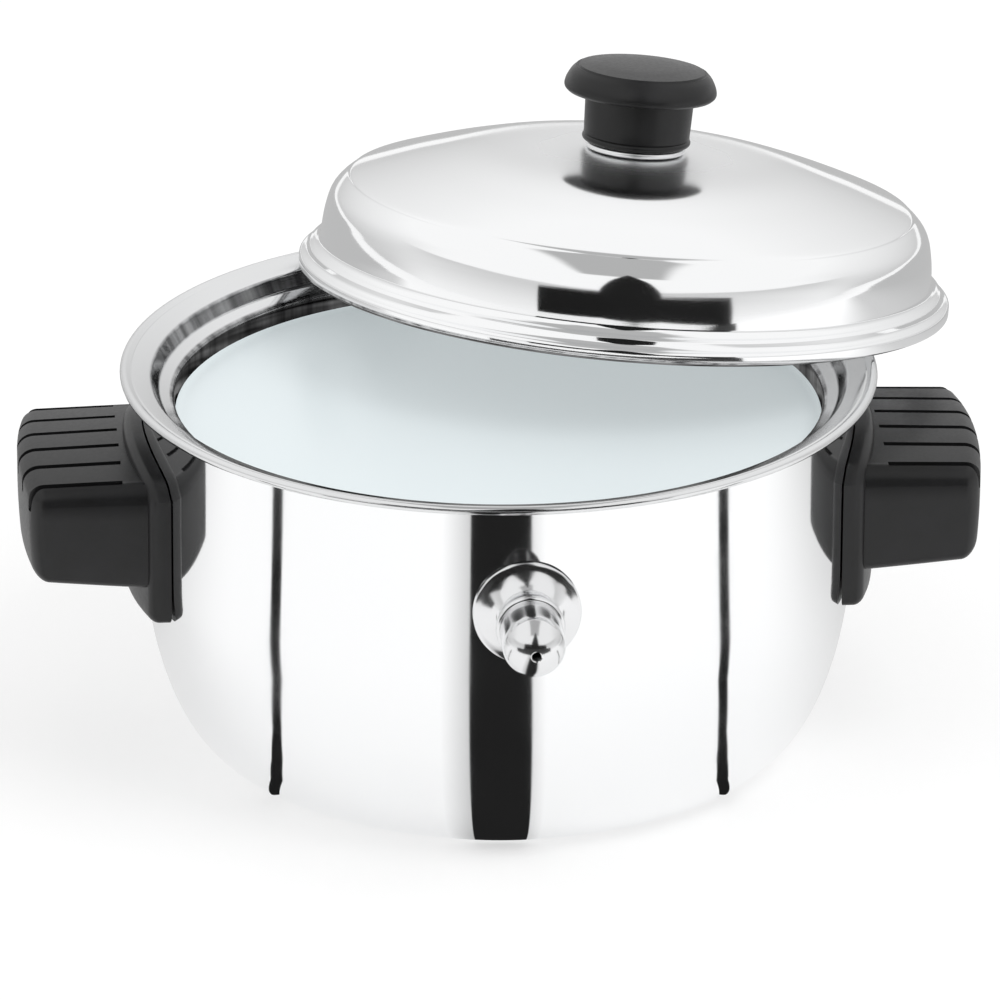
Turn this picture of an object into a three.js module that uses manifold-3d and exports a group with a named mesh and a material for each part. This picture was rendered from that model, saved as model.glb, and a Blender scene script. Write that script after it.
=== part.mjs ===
// Whistling double-wall milk boiler: a round steel pan with a water jacket, a front
// filler with a screw-on whistle, two side grips and a domed lid with a knob.
// Units are millimetres, +Z is up, the origin is the middle of the flat base,
// the grips lie along X and the whistle points along -Y.
import * as THREE from "three";
import { mergeVertices } from "three/addons/utils/BufferGeometryUtils.js";
import Module from "manifold-3d";

const wasm = await Module();
wasm.setup();

// Driving dimensions
const LIP_RADIUS = 110; // outside of the rolled lip
const PAN_HEIGHT = 116; // table to top of lip
const LIP_OVERHANG = 6.5; // lip past the outer wall
const BEAD = 1.3; // radius of the rolled edge
const SHEET = 0.9; // steel sheet
const GAP = 0.3; // running gap between touching pieces
const TURN = 48; // facets round the pans and the lid

const WALL_RADIUS = LIP_RADIUS - LIP_OVERHANG; // outside of the outer wall
const WALL_BORE = WALL_RADIUS - SHEET;
const BASE_RADIUS = WALL_RADIUS - 27.3; // flat part of the base
const BASE_RISE = PAN_HEIGHT * 0.55; // height where the wall becomes upright

const LIP_BORE = WALL_BORE - GAP - SHEET; // inner edge of the lip
const LIP_DROP = 2.3; // fall of the lip toward the pan
const LEDGE_OUT = LIP_BORE - 2.6; // lid ledge, outer edge
const LEDGE_IN = LEDGE_OUT - 4.6; // lid ledge, inner edge, and the pan bore
const LEDGE_TOP = PAN_HEIGHT - 6.8;
const LEDGE_FALL = 1.8;
const PAN_FLOOR = 12; // inside floor of the inner pan
const PAN_FLAT = LEDGE_IN - 24;
const PAN_RISE = BASE_RISE - 3;

const LID_RADIUS = LEDGE_IN + 2.6; // rests in the middle of the ledge
const LID_RIM = 3; // height of the lid's rolled rim
const LID_STEP = 0.8;
const LID_FOOT = LID_RADIUS * 0.934; // where the dome meets the flange
const DOME_WALL = 18; // top of the dome's steep wall
const DOME_HEIGHT = 41.6;
const LID_SHIFT = new THREE.Vector2(42.46, 67.19); // lid set aside from the pan's axis
const LID_AXIS = new THREE.Vector3(0.0866, 0.13, 0.9875).normalize();
const LID_TRAVEL_CLEAR = 0.4; // lid rim above the lip it leans on

const KNOB_RADIUS = 22.6;
const KNOB_STEM = 16.2;
const KNOB_HEIGHT = 23.6;
const KNOB_CAP = 8.4; // height of the knob's cap
const COLLAR_RADIUS = 14.8;
const COLLAR_HEIGHT = 1.8;
const SCREW = 2; // radius of the screws' shanks
const SCREW_FIT = 0.3; // radial room round a shank

const NOZZLE_Z = 81.6; // height of the filler's axis
const BELL_RADIUS = 15.4;
const BELL_REACH = 10.4; // wall to the shoulder that the cap closes on
const NECK_RADIUS = 8.2;
const TUBE_RADIUS = 6;
const TUBE_BORE = 4.2;
const GASKET = 1.2;
const CAP_RIM = 9.9;
const CAP_RADIUS = 9;
const CAP_LENGTH = 22.2;
const CAP_WALL = 2.3;
const STEAM_HOLE = 1.3;
const PLATE = 0.8; // thickness of the whistle's sounding plates

const GRIP_HALF = 30.5; // half of the grip's width across
const GRIP_END = 140; // outer end of the grip from the pan's axis
const GRIP_CROWN = 96.4; // top of the grip's arch
const GRIP_UNDER = 61.5; // underside at the flange
const GRIP_LIFT = 2.9; // rise of the underside toward the end
const GRIP_ARCH = 95; // radius of the arched top
const GRIP_ROUND = 6.5;
const GROOVE_PITCH = 10;
const GROOVE_WIDTH = 1.5;
const GROOVE_DEPTH = 1.2;
const FLANGE_HALF = 31;
const FLANGE_THICK = 5.8;
const FLANGE_UNDER = 51.3;
const FLANGE_CROWN = 98.4;
const BRACKET = 3; // thickness of the bracket's tongue
const PAD = 1.6; // thickness of the bracket's pad
const SCREW_REACH = 120; // grip screw from the pan's axis

// Materials
const finish = (color, roughness, metalness) =>
  new THREE.MeshStandardMaterial({ color, roughness, metalness });
const mirrorSteel = () => finish(0xd9dadb, 0.06, 1);
const satinSteel = () => finish(0xc4c6c8, 0.28, 1);
const chrome = () => finish(0xdfe1e3, 0.04, 1);
const bakelite = () => finish(0x2b2b2c, 0.38, 0);
const rubber = () => finish(0x8c3b30, 0.7, 0);
const zinc = () => finish(0xb4b6b8, 0.4, 1);

// Geometry helpers
const vec = (x, y) => new THREE.Vector2(x, y);

function facingOut(geometry) {
  geometry.deleteAttribute("normal");
  geometry.deleteAttribute("uv");
  const merged = mergeVertices(geometry, 1e-4);
  const p = merged.attributes.position;
  const a = new THREE.Vector3();
  const b = new THREE.Vector3();
  const c = new THREE.Vector3();
  const kept = [];
  let volume = 0;
  for (let i = 0; i < merged.index.count; i += 3) {
    const [i0, i1, i2] = [0, 1, 2].map((k) => merged.index.getX(i + k));
    if (i0 === i1 || i1 === i2 || i2 === i0) continue;
    kept.push(i0, i1, i2);
    a.fromBufferAttribute(p, i0);
    b.fromBufferAttribute(p, i1);
    c.fromBufferAttribute(p, i2);
    volume += a.dot(b.cross(c));
  }
  if (volume < 0) kept.reverse();
  merged.setIndex(kept);
  return merged;
}

// A closed profile of (radius, height) points turned about Z.
function turned(profile, facets = TURN) {
  const geometry = new THREE.LatheGeometry(profile, facets);
  geometry.rotateX(Math.PI / 2);
  return facingOut(geometry);
}

function ring(inner, outer, bottom, top, facets = 28) {
  const points = [vec(inner, bottom), vec(outer, bottom), vec(outer, top), vec(inner, top)];
  points.push(points[0].clone());
  return turned(points, facets);
}

function disc(radius, bottom, top, facets = 24) {
  return turned([vec(0, bottom), vec(radius, bottom), vec(radius, top), vec(0, top)], facets);
}

function block(x0, x1, y0, y1, z0, z1) {
  const geometry = new THREE.BoxGeometry(x1 - x0, y1 - y0, z1 - z0);
  geometry.translate((x0 + x1) / 2, (y0 + y1) / 2, (z0 + z1) / 2);
  return facingOut(geometry);
}

function solid(geometry) {
  return new wasm.Manifold(
    new wasm.Mesh({
      numProp: 3,
      vertProperties: new Float32Array(geometry.attributes.position.array),
      triVerts: new Uint32Array(geometry.index.array),
    }),
  );
}

function meshed(body) {
  const mesh = body.getMesh();
  const geometry = new THREE.BufferGeometry();
  geometry.setAttribute("position", new THREE.BufferAttribute(mesh.vertProperties.slice(), 3));
  geometry.setIndex(new THREE.BufferAttribute(mesh.triVerts.slice(), 1));
  return geometry;
}

function named(name, geometry, material) {
  const mesh = new THREE.Mesh(geometry, material);
  mesh.name = name;
  return mesh;
}

// The quarter of an ellipse that joins a flat floor to an upright wall.
function bottomCurve(flat, wall, floor, rise, steps) {
  const points = [];
  for (let i = 0; i <= steps; i += 1) {
    const angle = (Math.PI / 2) * (i / steps);
    points.push(
      vec(flat + (wall - flat) * Math.sin(angle), floor + (rise - floor) * (1 - Math.cos(angle))),
    );
  }
  return points;
}

// Height of the top of the lip at a radius from the pan's axis.
const lipSlope = LIP_DROP / (LIP_RADIUS - BEAD - LIP_BORE);
const lipTop = (radius) => PAN_HEIGHT - LIP_DROP + (radius - LIP_BORE) * lipSlope;

// Outer pan: jacket wall, rounded bottom, flat base and a flange under the lip
function outerPan() {
  const under = (radius) => lipTop(radius) - SHEET * 1.05 - GAP;
  const edge = LIP_RADIUS - 2 * BEAD - GAP - 0.2;
  const outside = bottomCurve(BASE_RADIUS, WALL_RADIUS, 0, BASE_RISE, 8);
  const inside = bottomCurve(BASE_RADIUS - 0.6, WALL_BORE, SHEET, BASE_RISE, 8).reverse();
  const profile = [
    vec(0, 0),
    ...outside,
    vec(WALL_RADIUS, under(WALL_RADIUS) - SHEET * 1.05),
    vec(edge, under(edge) - SHEET),
    vec(edge, under(edge)),
    vec(WALL_BORE, under(WALL_BORE)),
    ...inside,
    vec(0, SHEET),
  ];
  const hole = turned([
    vec(0, WALL_BORE - 8),
    vec(TUBE_RADIUS + GAP, WALL_BORE - 8),
    vec(TUBE_RADIUS + GAP, WALL_RADIUS + 8),
    vec(0, WALL_RADIUS + 8),
  ], 24);
  hole.rotateX(Math.PI / 2);
  hole.translate(0, 0, NOZZLE_Z);
  return meshed(solid(turned(profile)).subtract(solid(hole)));
}

// Inner pan: milk pan with a ledge for the lid and a rolled lip over the jacket
function innerPan() {
  const beadAxis = vec(LIP_RADIUS - BEAD, PAN_HEIGHT - BEAD);
  const bead = [];
  for (let i = 0; i <= 6; i += 1) {
    const angle = Math.PI * (0.5 - i / 6);
    bead.push(vec(beadAxis.x + BEAD * Math.cos(angle), beadAxis.y + BEAD * Math.sin(angle)));
  }
  const milkSide = bottomCurve(PAN_FLAT, LEDGE_IN, PAN_FLOOR, PAN_RISE, 8);
  const waterSide = bottomCurve(
    PAN_FLAT + 0.4, LEDGE_IN + SHEET, PAN_FLOOR - SHEET, PAN_RISE, 8,
  ).reverse();
  const under = (radius) => lipTop(radius) - SHEET * 1.05;
  const lipUnderEdge = LIP_RADIUS - 2 * BEAD + 0.1;
  const profile = [
    vec(0, PAN_FLOOR),
    ...milkSide,
    vec(LEDGE_IN, LEDGE_TOP - LEDGE_FALL),
    vec(LEDGE_OUT, LEDGE_TOP),
    vec(LIP_BORE - 0.5, lipTop(LIP_BORE) - 0.6),
    vec(LIP_BORE + 0.3, lipTop(LIP_BORE + 0.3)),
    ...bead,
    vec(lipUnderEdge, beadAxis.y - BEAD * 0.55),
    vec(lipUnderEdge, under(lipUnderEdge)),
    vec(LIP_BORE + SHEET, under(LIP_BORE + SHEET)),
    vec(LEDGE_OUT + SHEET * 0.95, LEDGE_TOP - SHEET * 0.6),
    vec(LEDGE_IN + SHEET, LEDGE_TOP - LEDGE_FALL - SHEET * 0.7),
    ...waterSide,
    vec(0, PAN_FLOOR - SHEET),
  ];
  return turned(profile);
}

// Lid: rolled rim, stepped flange, steep foot and a low dome with a screw hole
function domeProfile() {
  const crown = DOME_HEIGHT - DOME_WALL;
  return new THREE.SplineCurve([
    vec(LID_FOOT, LID_RIM + LID_STEP),
    vec(LID_FOOT * 0.992, DOME_WALL * 0.6),
    vec(LID_FOOT * 0.984, DOME_WALL),
    vec(LID_FOOT * 0.955, DOME_WALL + crown * 0.22),
    vec(LID_FOOT * 0.9, DOME_WALL + crown * 0.33),
    vec(LID_FOOT * 0.7, DOME_WALL + crown * 0.63),
    vec(LID_FOOT * 0.5, DOME_WALL + crown * 0.85),
    vec(LID_FOOT * 0.25, DOME_WALL + crown * 0.98),
    vec(SCREW + SCREW_FIT, DOME_HEIGHT),
  ]);
}

function lidShell() {
  const outside = domeProfile().getPoints(12);
  const inside = [];
  for (let i = outside.length - 1; i >= 0; i -= 1) {
    const before = outside[Math.max(i - 1, 0)];
    const after = outside[Math.min(i + 1, outside.length - 1)];
    const along = after.clone().sub(before).normalize();
    inside.push(vec(outside[i].x - along.y * SHEET, outside[i].y + along.x * SHEET));
  }
  inside[0].x = SCREW + SCREW_FIT;
  inside[inside.length - 1].set(LID_FOOT - SHEET, LID_RIM - SHEET + LID_STEP);
  const profile = [
    ...outside.slice().reverse(),
    vec(LID_RADIUS - 3.4, LID_RIM + LID_STEP),
    vec(LID_RADIUS - 3, LID_RIM),
    vec(LID_RADIUS - 0.6, LID_RIM),
    vec(LID_RADIUS, LID_RIM - 0.7),
    vec(LID_RADIUS, 0.7),
    vec(LID_RADIUS - 0.6, 0),
    vec(LID_RADIUS - 1.5, 0),
    vec(LID_RADIUS - 1.8, LID_RIM - SHEET),
    vec(LID_RADIUS - 3.6, LID_RIM - SHEET),
    vec(LID_RADIUS - 4, LID_RIM - SHEET + LID_STEP * 0.9),
    ...inside.slice().reverse(),
  ];
  profile.push(profile[0].clone());
  return turned(profile);
}

// Knob: cylindrical stem with a foot bead, a mushroom cap and a blind hole
function knob() {
  const capFoot = KNOB_HEIGHT - KNOB_CAP;
  const bore = SCREW + SCREW_FIT;
  return turned([
    vec(0, capFoot - 1),
    vec(bore, capFoot - 1),
    vec(bore, 0),
    vec(KNOB_STEM - 1.2, 0),
    vec(KNOB_STEM - 0.2, 0.9),
    vec(KNOB_STEM - 0.1, 2.4),
    vec(KNOB_STEM - 0.4, 2.9),
    vec(KNOB_STEM + 0.1, capFoot - 0.4),
    vec(KNOB_RADIUS - 1, capFoot - 0.5),
    vec(KNOB_RADIUS - 0.2, capFoot + 0.3),
    vec(KNOB_RADIUS, capFoot + 1.4),
    vec(KNOB_RADIUS - 0.5, capFoot + 3.2),
    vec(KNOB_RADIUS - 1.7, capFoot + 5.4),
    vec(KNOB_RADIUS - 3.1, capFoot + 6.8),
    vec(KNOB_RADIUS - 3.5, capFoot + 6.7),
    vec(KNOB_RADIUS - 4.1, capFoot + 7.4),
    vec(KNOB_RADIUS * 0.5, KNOB_HEIGHT - 0.3),
    vec(0, KNOB_HEIGHT),
  ], 32);
}

// A pan-head screw that stands on its head's underside plane, shank upward
function screw(length, headRadius, headHeight) {
  return turned([
    vec(0, -headHeight),
    vec(headRadius * 0.7, -headHeight),
    vec(headRadius, -headHeight * 0.45),
    vec(headRadius, 0),
    vec(SCREW, 0),
    vec(SCREW, length - 0.6),
    vec(SCREW - 0.6, length),
    vec(0, length),
  ], 14);
}

// Filler: trumpet bell that hugs the wall, with a tube through it into the jacket
const WALL_SEAT = WALL_RADIUS + GAP;
const SHOULDER = WALL_SEAT + BELL_REACH;
const CAP_FOOT = SHOULDER + GASKET + 2 * GAP;
function fillerNozzle() {
  const bell = turned([
    vec(0, WALL_SEAT - 6),
    vec(BELL_RADIUS, WALL_SEAT - 6),
    vec(BELL_RADIUS, WALL_SEAT + 0.4),
    vec(BELL_RADIUS - 0.6, WALL_SEAT + 1),
    vec(BELL_RADIUS * 0.84, WALL_SEAT + 1.7),
    vec(BELL_RADIUS * 0.69, WALL_SEAT + 3),
    vec(NECK_RADIUS + 0.6, WALL_SEAT + 5),
    vec(NECK_RADIUS, WALL_SEAT + 7.4),
    vec(NECK_RADIUS + 0.4, SHOULDER),
    vec(0, SHOULDER),
  ], 28);
  const tube = disc(TUBE_RADIUS, WALL_BORE - 5.2, SHOULDER + 7.4, 24);
  const bore = disc(TUBE_BORE, WALL_BORE - 9, SHOULDER + 12, 24);
  const wall = disc(WALL_SEAT, -40, 40, TURN * 2);
  wall.rotateX(-Math.PI / 2);
  const body = solid(bell).subtract(solid(wall)).add(solid(tube)).subtract(solid(bore));
  return meshed(body);
}

function whistleCap() {
  const inner = TUBE_RADIUS + GAP;
  const tip = CAP_FOOT + CAP_LENGTH;
  const nose = tip - CAP_RADIUS;
  const profile = [
    vec(inner, CAP_FOOT),
    vec(CAP_RIM - 0.5, CAP_FOOT),
    vec(CAP_RIM, CAP_FOOT + 0.5),
    vec(CAP_RIM, CAP_FOOT + 1.7),
    vec(CAP_RIM - 0.5, CAP_FOOT + 2.3),
    vec(CAP_RADIUS, CAP_FOOT + 2.9),
  ];
  const rim = Math.asin((STEAM_HOLE + 0.3) / CAP_RADIUS);
  for (let i = 0; i <= 6; i += 1) {
    const angle = (Math.PI / 2 - rim) * (i / 6);
    profile.push(vec(CAP_RADIUS * Math.cos(angle), nose + CAP_RADIUS * Math.sin(angle)));
  }
  profile.push(
    vec(STEAM_HOLE, tip - 0.5),
    vec(STEAM_HOLE, tip - CAP_WALL),
    vec(inner * 0.62, tip - CAP_WALL - 1.3),
    vec(inner, tip - CAP_WALL - 4.6),
    vec(inner, CAP_FOOT),
  );
  return turned(profile, 24);
}

// Grip: arched, grooved block on a flange that follows the wall
function gripShape() {
  const shape = new THREE.Shape();
  const dip = GRIP_ARCH - Math.sqrt(GRIP_ARCH ** 2 - (GRIP_HALF - GRIP_ROUND) ** 2);
  const side = GRIP_CROWN - dip - GRIP_ROUND;
  const foot = GRIP_UNDER + 3;
  const tilt = Math.asin((GRIP_HALF - GRIP_ROUND) / GRIP_ARCH);
  shape.moveTo(-GRIP_HALF, foot);
  shape.lineTo(-GRIP_HALF, side - 1);
  shape.quadraticCurveTo(-GRIP_HALF, side + GRIP_ROUND - 2.2, -(GRIP_HALF - GRIP_ROUND), side + GRIP_ROUND);
  shape.absarc(0, GRIP_CROWN - GRIP_ARCH, GRIP_ARCH, Math.PI / 2 + tilt, Math.PI / 2 - tilt, true);
  shape.quadraticCurveTo(GRIP_HALF, side + GRIP_ROUND - 2.2, GRIP_HALF, side - 1);
  shape.lineTo(GRIP_HALF, foot);
  shape.quadraticCurveTo(GRIP_HALF, GRIP_UNDER, GRIP_HALF - 3, GRIP_UNDER);
  shape.lineTo(-(GRIP_HALF - 3), GRIP_UNDER);
  shape.quadraticCurveTo(-GRIP_HALF, GRIP_UNDER, -GRIP_HALF, foot);
  return shape;
}

// Turns an extrusion made along its own Z into one that runs outward along X.
function outward(geometry, start) {
  const p = geometry.attributes.position;
  for (let i = 0; i < p.count; i += 1) {
    p.setXYZ(i, start + p.getZ(i), p.getX(i), p.getY(i));
  }
  return geometry;
}

// Stations of the grip from the wall outward: reach, then inset of the outline there.
function gripStations() {
  const shoulder = GRIP_END - GRIP_ROUND;
  const stations = [
    { reach: WALL_RADIUS + 2, inset: 0 },
    { reach: (WALL_RADIUS + FLANGE_THICK + shoulder) / 2, inset: 0 },
    { reach: shoulder, inset: 0 },
  ];
  for (let i = 1; i <= 4; i += 1) {
    const angle = (Math.PI / 2) * (i / 4);
    stations.push({
      reach: shoulder + GRIP_ROUND * Math.sin(angle),
      inset: GRIP_ROUND * (1 - Math.cos(angle)),
    });
  }
  stations.push({ reach: GRIP_END, inset: 11 }, { reach: GRIP_END, inset: 16.4 });
  return stations;
}

// Rounds the grip's end, bows it in plan and lifts its underside toward the end.
function gripBlank() {
  const outline = gripShape().getSpacedPoints(48);
  outline.pop();
  const stations = gripStations();
  const last = stations.length - 1;
  const geometry = new THREE.ExtrudeGeometry(new THREE.Shape(outline), {
    depth: last, steps: last, bevelEnabled: false,
  });
  const p = geometry.attributes.position;
  const root = WALL_RADIUS + FLANGE_THICK;
  const middle = (GRIP_CROWN + GRIP_UNDER) / 2;
  const half = (GRIP_CROWN - GRIP_UNDER) / 2;
  for (let i = 0; i < p.count; i += 1) {
    const { reach, inset } = stations[Math.round(p.getZ(i))];
    const y = (p.getX(i) * (GRIP_HALF - inset)) / GRIP_HALF;
    const z = middle + ((p.getY(i) - middle) * (half - inset)) / half;
    const out = Math.max(0, (reach - root) / (GRIP_END - root));
    const low = (GRIP_CROWN - z) / (GRIP_CROWN - GRIP_UNDER);
    const bow = (y * y) / 150 + 2.4 * Math.max(0, low - 0.35) ** 2;
    p.setXYZ(i, reach - out * out * bow, y, z + out * (low * GRIP_LIFT - (1 - low) * 1.2));
  }
  return solid(facingOut(geometry));
}

function flangeBlank(inner, outer) {
  const shape = new THREE.Shape();
  const shoulder = FLANGE_CROWN - 10;
  shape.moveTo(-FLANGE_HALF, FLANGE_UNDER + 2);
  shape.lineTo(-FLANGE_HALF, shoulder);
  shape.quadraticCurveTo(-FLANGE_HALF * 0.9, FLANGE_CROWN - 2.4, -FLANGE_HALF * 0.45, FLANGE_CROWN - 0.5);
  shape.quadraticCurveTo(0, FLANGE_CROWN + 0.5, FLANGE_HALF * 0.45, FLANGE_CROWN - 0.5);
  shape.quadraticCurveTo(FLANGE_HALF * 0.9, FLANGE_CROWN - 2.4, FLANGE_HALF, shoulder);
  shape.lineTo(FLANGE_HALF, FLANGE_UNDER + 2);
  shape.quadraticCurveTo(FLANGE_HALF, FLANGE_UNDER, FLANGE_HALF - 2, FLANGE_UNDER);
  shape.lineTo(-FLANGE_HALF + 2, FLANGE_UNDER);
  shape.quadraticCurveTo(-FLANGE_HALF, FLANGE_UNDER, -FLANGE_HALF, FLANGE_UNDER + 2);
  const plate = new THREE.ExtrudeGeometry(shape, {
    depth: outer - inner + 24, bevelEnabled: false, curveSegments: 5,
  });
  const chamfer = 1.6;
  const band = turned([
    vec(inner, FLANGE_UNDER - 6),
    vec(outer - chamfer * 2, FLANGE_UNDER - 0.1),
    vec(outer - chamfer, FLANGE_UNDER + 0.5),
    vec(outer, FLANGE_UNDER + 3),
    vec(outer, FLANGE_CROWN - 3),
    vec(outer - chamfer, FLANGE_CROWN + 6),
    vec(inner, FLANGE_CROWN + 6),
    vec(inner, FLANGE_UNDER - 6),
  ], TURN * 2);
  return solid(facingOut(outward(plate, inner - 20))).intersect(solid(band));
}

function grooveCutter(across) {
  const drop = GRIP_ARCH - Math.sqrt(GRIP_ARCH ** 2 - across ** 2);
  const top = GRIP_CROWN - drop;
  const end = GRIP_END - (across * across) / 150;
  const start = WALL_RADIUS + FLANGE_THICK + 1.5;
  const round = GRIP_ROUND - 0.4;
  const floor = (x) => top - GROOVE_DEPTH - (1.2 * (x - start)) / (GRIP_END - start);
  const shape = new THREE.Shape();
  shape.moveTo(start, floor(start));
  shape.lineTo(end - GROOVE_DEPTH - round, floor(end - round));
  shape.quadraticCurveTo(
    end - GROOVE_DEPTH - 0.2, floor(end), end - GROOVE_DEPTH + 0.5, floor(end) - round * 1.35,
  );
  shape.lineTo(end + 9, floor(end) - round * 1.35);
  shape.lineTo(end + 9, top + 9);
  shape.lineTo(start, top + 9);
  shape.closePath();
  const cutter = new THREE.ExtrudeGeometry(shape, {
    depth: GROOVE_WIDTH, bevelEnabled: false, curveSegments: 4,
  });
  cutter.rotateX(Math.PI / 2);
  cutter.translate(0, across + GROOVE_WIDTH / 2, 0);
  return solid(facingOut(cutter));
}

const SEAT = WALL_RADIUS + GAP; // inside of everything that fits against the wall
const TONGUE_END = SCREW_REACH + 7.6;
const TONGUE_Z = GRIP_UNDER + 14.5;
const HEAD_SEAT = GRIP_UNDER + 7.5;
const PAD_HALF = 11;
function bracketBlank(room) {
  const pad = solid(ring(SEAT - room, SEAT + PAD + room, TONGUE_Z - 9 - room, TONGUE_Z + 12 + room, TURN * 2))
    .intersect(solid(block(SEAT - 20, SEAT + 20, -PAD_HALF - room, PAD_HALF + room, 0, PAN_HEIGHT)));
  const tongue = block(
    SEAT + PAD * 0.5, TONGUE_END + room, -8 - room, 8 + room, TONGUE_Z - room, TONGUE_Z + BRACKET + room,
  );
  return pad.add(solid(tongue));
}

function shankHole(bottom, top) {
  const hole = disc(SCREW + SCREW_FIT, bottom, top, 20);
  hole.translate(SCREW_REACH, 0, 0);
  return solid(hole);
}

function handle() {
  const grip = gripBlank();
  const room = solid(disc(WALL_RADIUS + FLANGE_THICK * 0.6, 0, PAN_HEIGHT + 20, TURN * 2));
  const counterbore = disc(4.7, GRIP_UNDER - 8, HEAD_SEAT, 24);
  counterbore.translate(SCREW_REACH, 0, 0);
  let body = grip.subtract(room).add(flangeBlank(SEAT, WALL_RADIUS + FLANGE_THICK));
  for (const step of [-2.5, -1.5, -0.5, 0.5, 1.5, 2.5]) {
    body = body.subtract(grooveCutter(step * GROOVE_PITCH));
  }
  body = body
    .subtract(bracketBlank(GAP))
    .subtract(shankHole(GRIP_UNDER - 8, TONGUE_Z + BRACKET + 5))
    .subtract(solid(counterbore));
  return meshed(body);
}

function handleSet(side) {
  const group = new THREE.Group();
  const bracket = bracketBlank(0).subtract(shankHole(TONGUE_Z - 2, TONGUE_Z + BRACKET + 2));
  group.add(named(`handle_${side}`, handle(), bakelite()));
  group.add(named(`handle_bracket_${side}`, meshed(bracket), zinc()));
  const washer = named(
    `handle_washer_${side}`,
    ring(SCREW + SCREW_FIT, 4.2, HEAD_SEAT - GAP - 0.9, HEAD_SEAT - GAP, 16),
    zinc(),
  );
  washer.position.x = SCREW_REACH;
  group.add(washer);
  const bolt = named(
    `handle_screw_${side}`,
    screw(TONGUE_Z + BRACKET + 3 - (HEAD_SEAT - 2 * GAP - 0.9), 3.9, 2.4),
    satinSteel(),
  );
  bolt.position.set(SCREW_REACH, 0, HEAD_SEAT - 2 * GAP - 0.9);
  group.add(bolt);
  group.rotation.z = side === "left" ? Math.PI : 0;
  return group;
}

// Lowest height of the lid's rim plane that leaves the lid leaning on the lip.
function lidHeight() {
  const tilt = new THREE.Quaternion().setFromUnitVectors(new THREE.Vector3(0, 0, 1), LID_AXIS);
  const point = new THREE.Vector3();
  let height = 0;
  for (let i = 0; i < 720; i += 1) {
    const angle = (i / 720) * 2 * Math.PI;
    for (const radius of [LID_RADIUS - 1.5, LID_RADIUS - 0.6, LID_RADIUS]) {
      point.set(radius * Math.cos(angle), radius * Math.sin(angle), 0).applyQuaternion(tilt);
      const reach = Math.hypot(point.x + LID_SHIFT.x, point.y + LID_SHIFT.y);
      if (reach < LIP_BORE - 2 || reach > LIP_RADIUS) continue;
      const rest = reach > LIP_RADIUS - 2 * BEAD ? PAN_HEIGHT : lipTop(reach);
      height = Math.max(height, rest + LID_TRAVEL_CLEAR - point.z);
    }
  }
  return height;
}

function lidSet() {
  const group = new THREE.Group();
  const under = DOME_HEIGHT - SHEET - GAP;
  const collarFoot = DOME_HEIGHT + GAP;
  const knobFoot = collarFoot + COLLAR_HEIGHT + GAP;
  group.add(named("lid", lidShell(), mirrorSteel()));
  group.add(
    named(
      "knob_collar",
      ring(SCREW + SCREW_FIT, COLLAR_RADIUS, collarFoot, collarFoot + COLLAR_HEIGHT, 32),
      mirrorSteel(),
    ),
  );
  const top = named("knob", knob(), bakelite());
  top.position.z = knobFoot;
  group.add(top);
  group.add(
    named("knob_washer", ring(SCREW + SCREW_FIT, 7, under - 1.1, under - 0.1, 16), zinc()),
  );
  const bolt = named("knob_screw", screw(14, 4.2, 2.6), satinSteel());
  bolt.position.z = under - 1.1 - GAP;
  group.add(bolt);
  group.quaternion.setFromUnitVectors(new THREE.Vector3(0, 0, 1), LID_AXIS);
  group.position.set(LID_SHIFT.x, LID_SHIFT.y, lidHeight());
  return group;
}

function whistleSet() {
  const group = new THREE.Group();
  const tubeEnd = SHOULDER + 7.4;
  const plateRadius = TUBE_RADIUS;
  const nut = solid(facingOut(new THREE.CylinderGeometry(9.6, 9.6, 2.8, 6).rotateX(Math.PI / 2)));
  const nutHole = solid(disc(TUBE_RADIUS + GAP, -4, 4, 24));
  const ringNut = named("filler_nut", meshed(nut.subtract(nutHole)), zinc());
  ringNut.position.z = Math.sqrt(WALL_BORE ** 2 - 9.6 ** 2) - GAP - 1.4;
  group.add(ringNut);
  group.add(named("filler_nozzle", fillerNozzle(), chrome()));
  group.add(
    named(
      "whistle_gasket",
      ring(TUBE_RADIUS + GAP, NECK_RADIUS - 0.2, SHOULDER + GAP, SHOULDER + GAP + GASKET, 20),
      rubber(),
    ),
  );
  group.add(named("whistle_cap", whistleCap(), chrome()));
  group.add(
    named("whistle_plate_rear", ring(1, plateRadius, tubeEnd + 1.2, tubeEnd + 1.2 + PLATE, 16), satinSteel()),
  );
  group.add(
    named("whistle_plate_front", ring(1, plateRadius, tubeEnd + 3.6, tubeEnd + 3.6 + PLATE, 16), satinSteel()),
  );
  group.rotation.x = Math.PI / 2;
  group.position.z = NOZZLE_Z;
  return group;
}

const boiler = new THREE.Group();
boiler.name = "milk_boiler";
boiler.add(named("outer_pan", outerPan(), mirrorSteel()));
boiler.add(named("inner_pan", innerPan(), satinSteel()));
boiler.add(whistleSet());
boiler.add(handleSet("left"));
boiler.add(handleSet("right"));
boiler.add(lidSet());

export default boiler;
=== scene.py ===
"""Looks of the milk boiler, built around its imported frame.

Fine turned steel stands for the faceted pans, lid and whistle, moulded grips stand for the plain
ones, and every hidden fastener keeps its frame node with a finish of its own.
"""

import logging
import math
from dataclasses import dataclass
from enum import Enum
from typing import Callable, Optional, Sequence

import bpy
import numpy as np
from mathutils import Matrix, Vector


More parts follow.
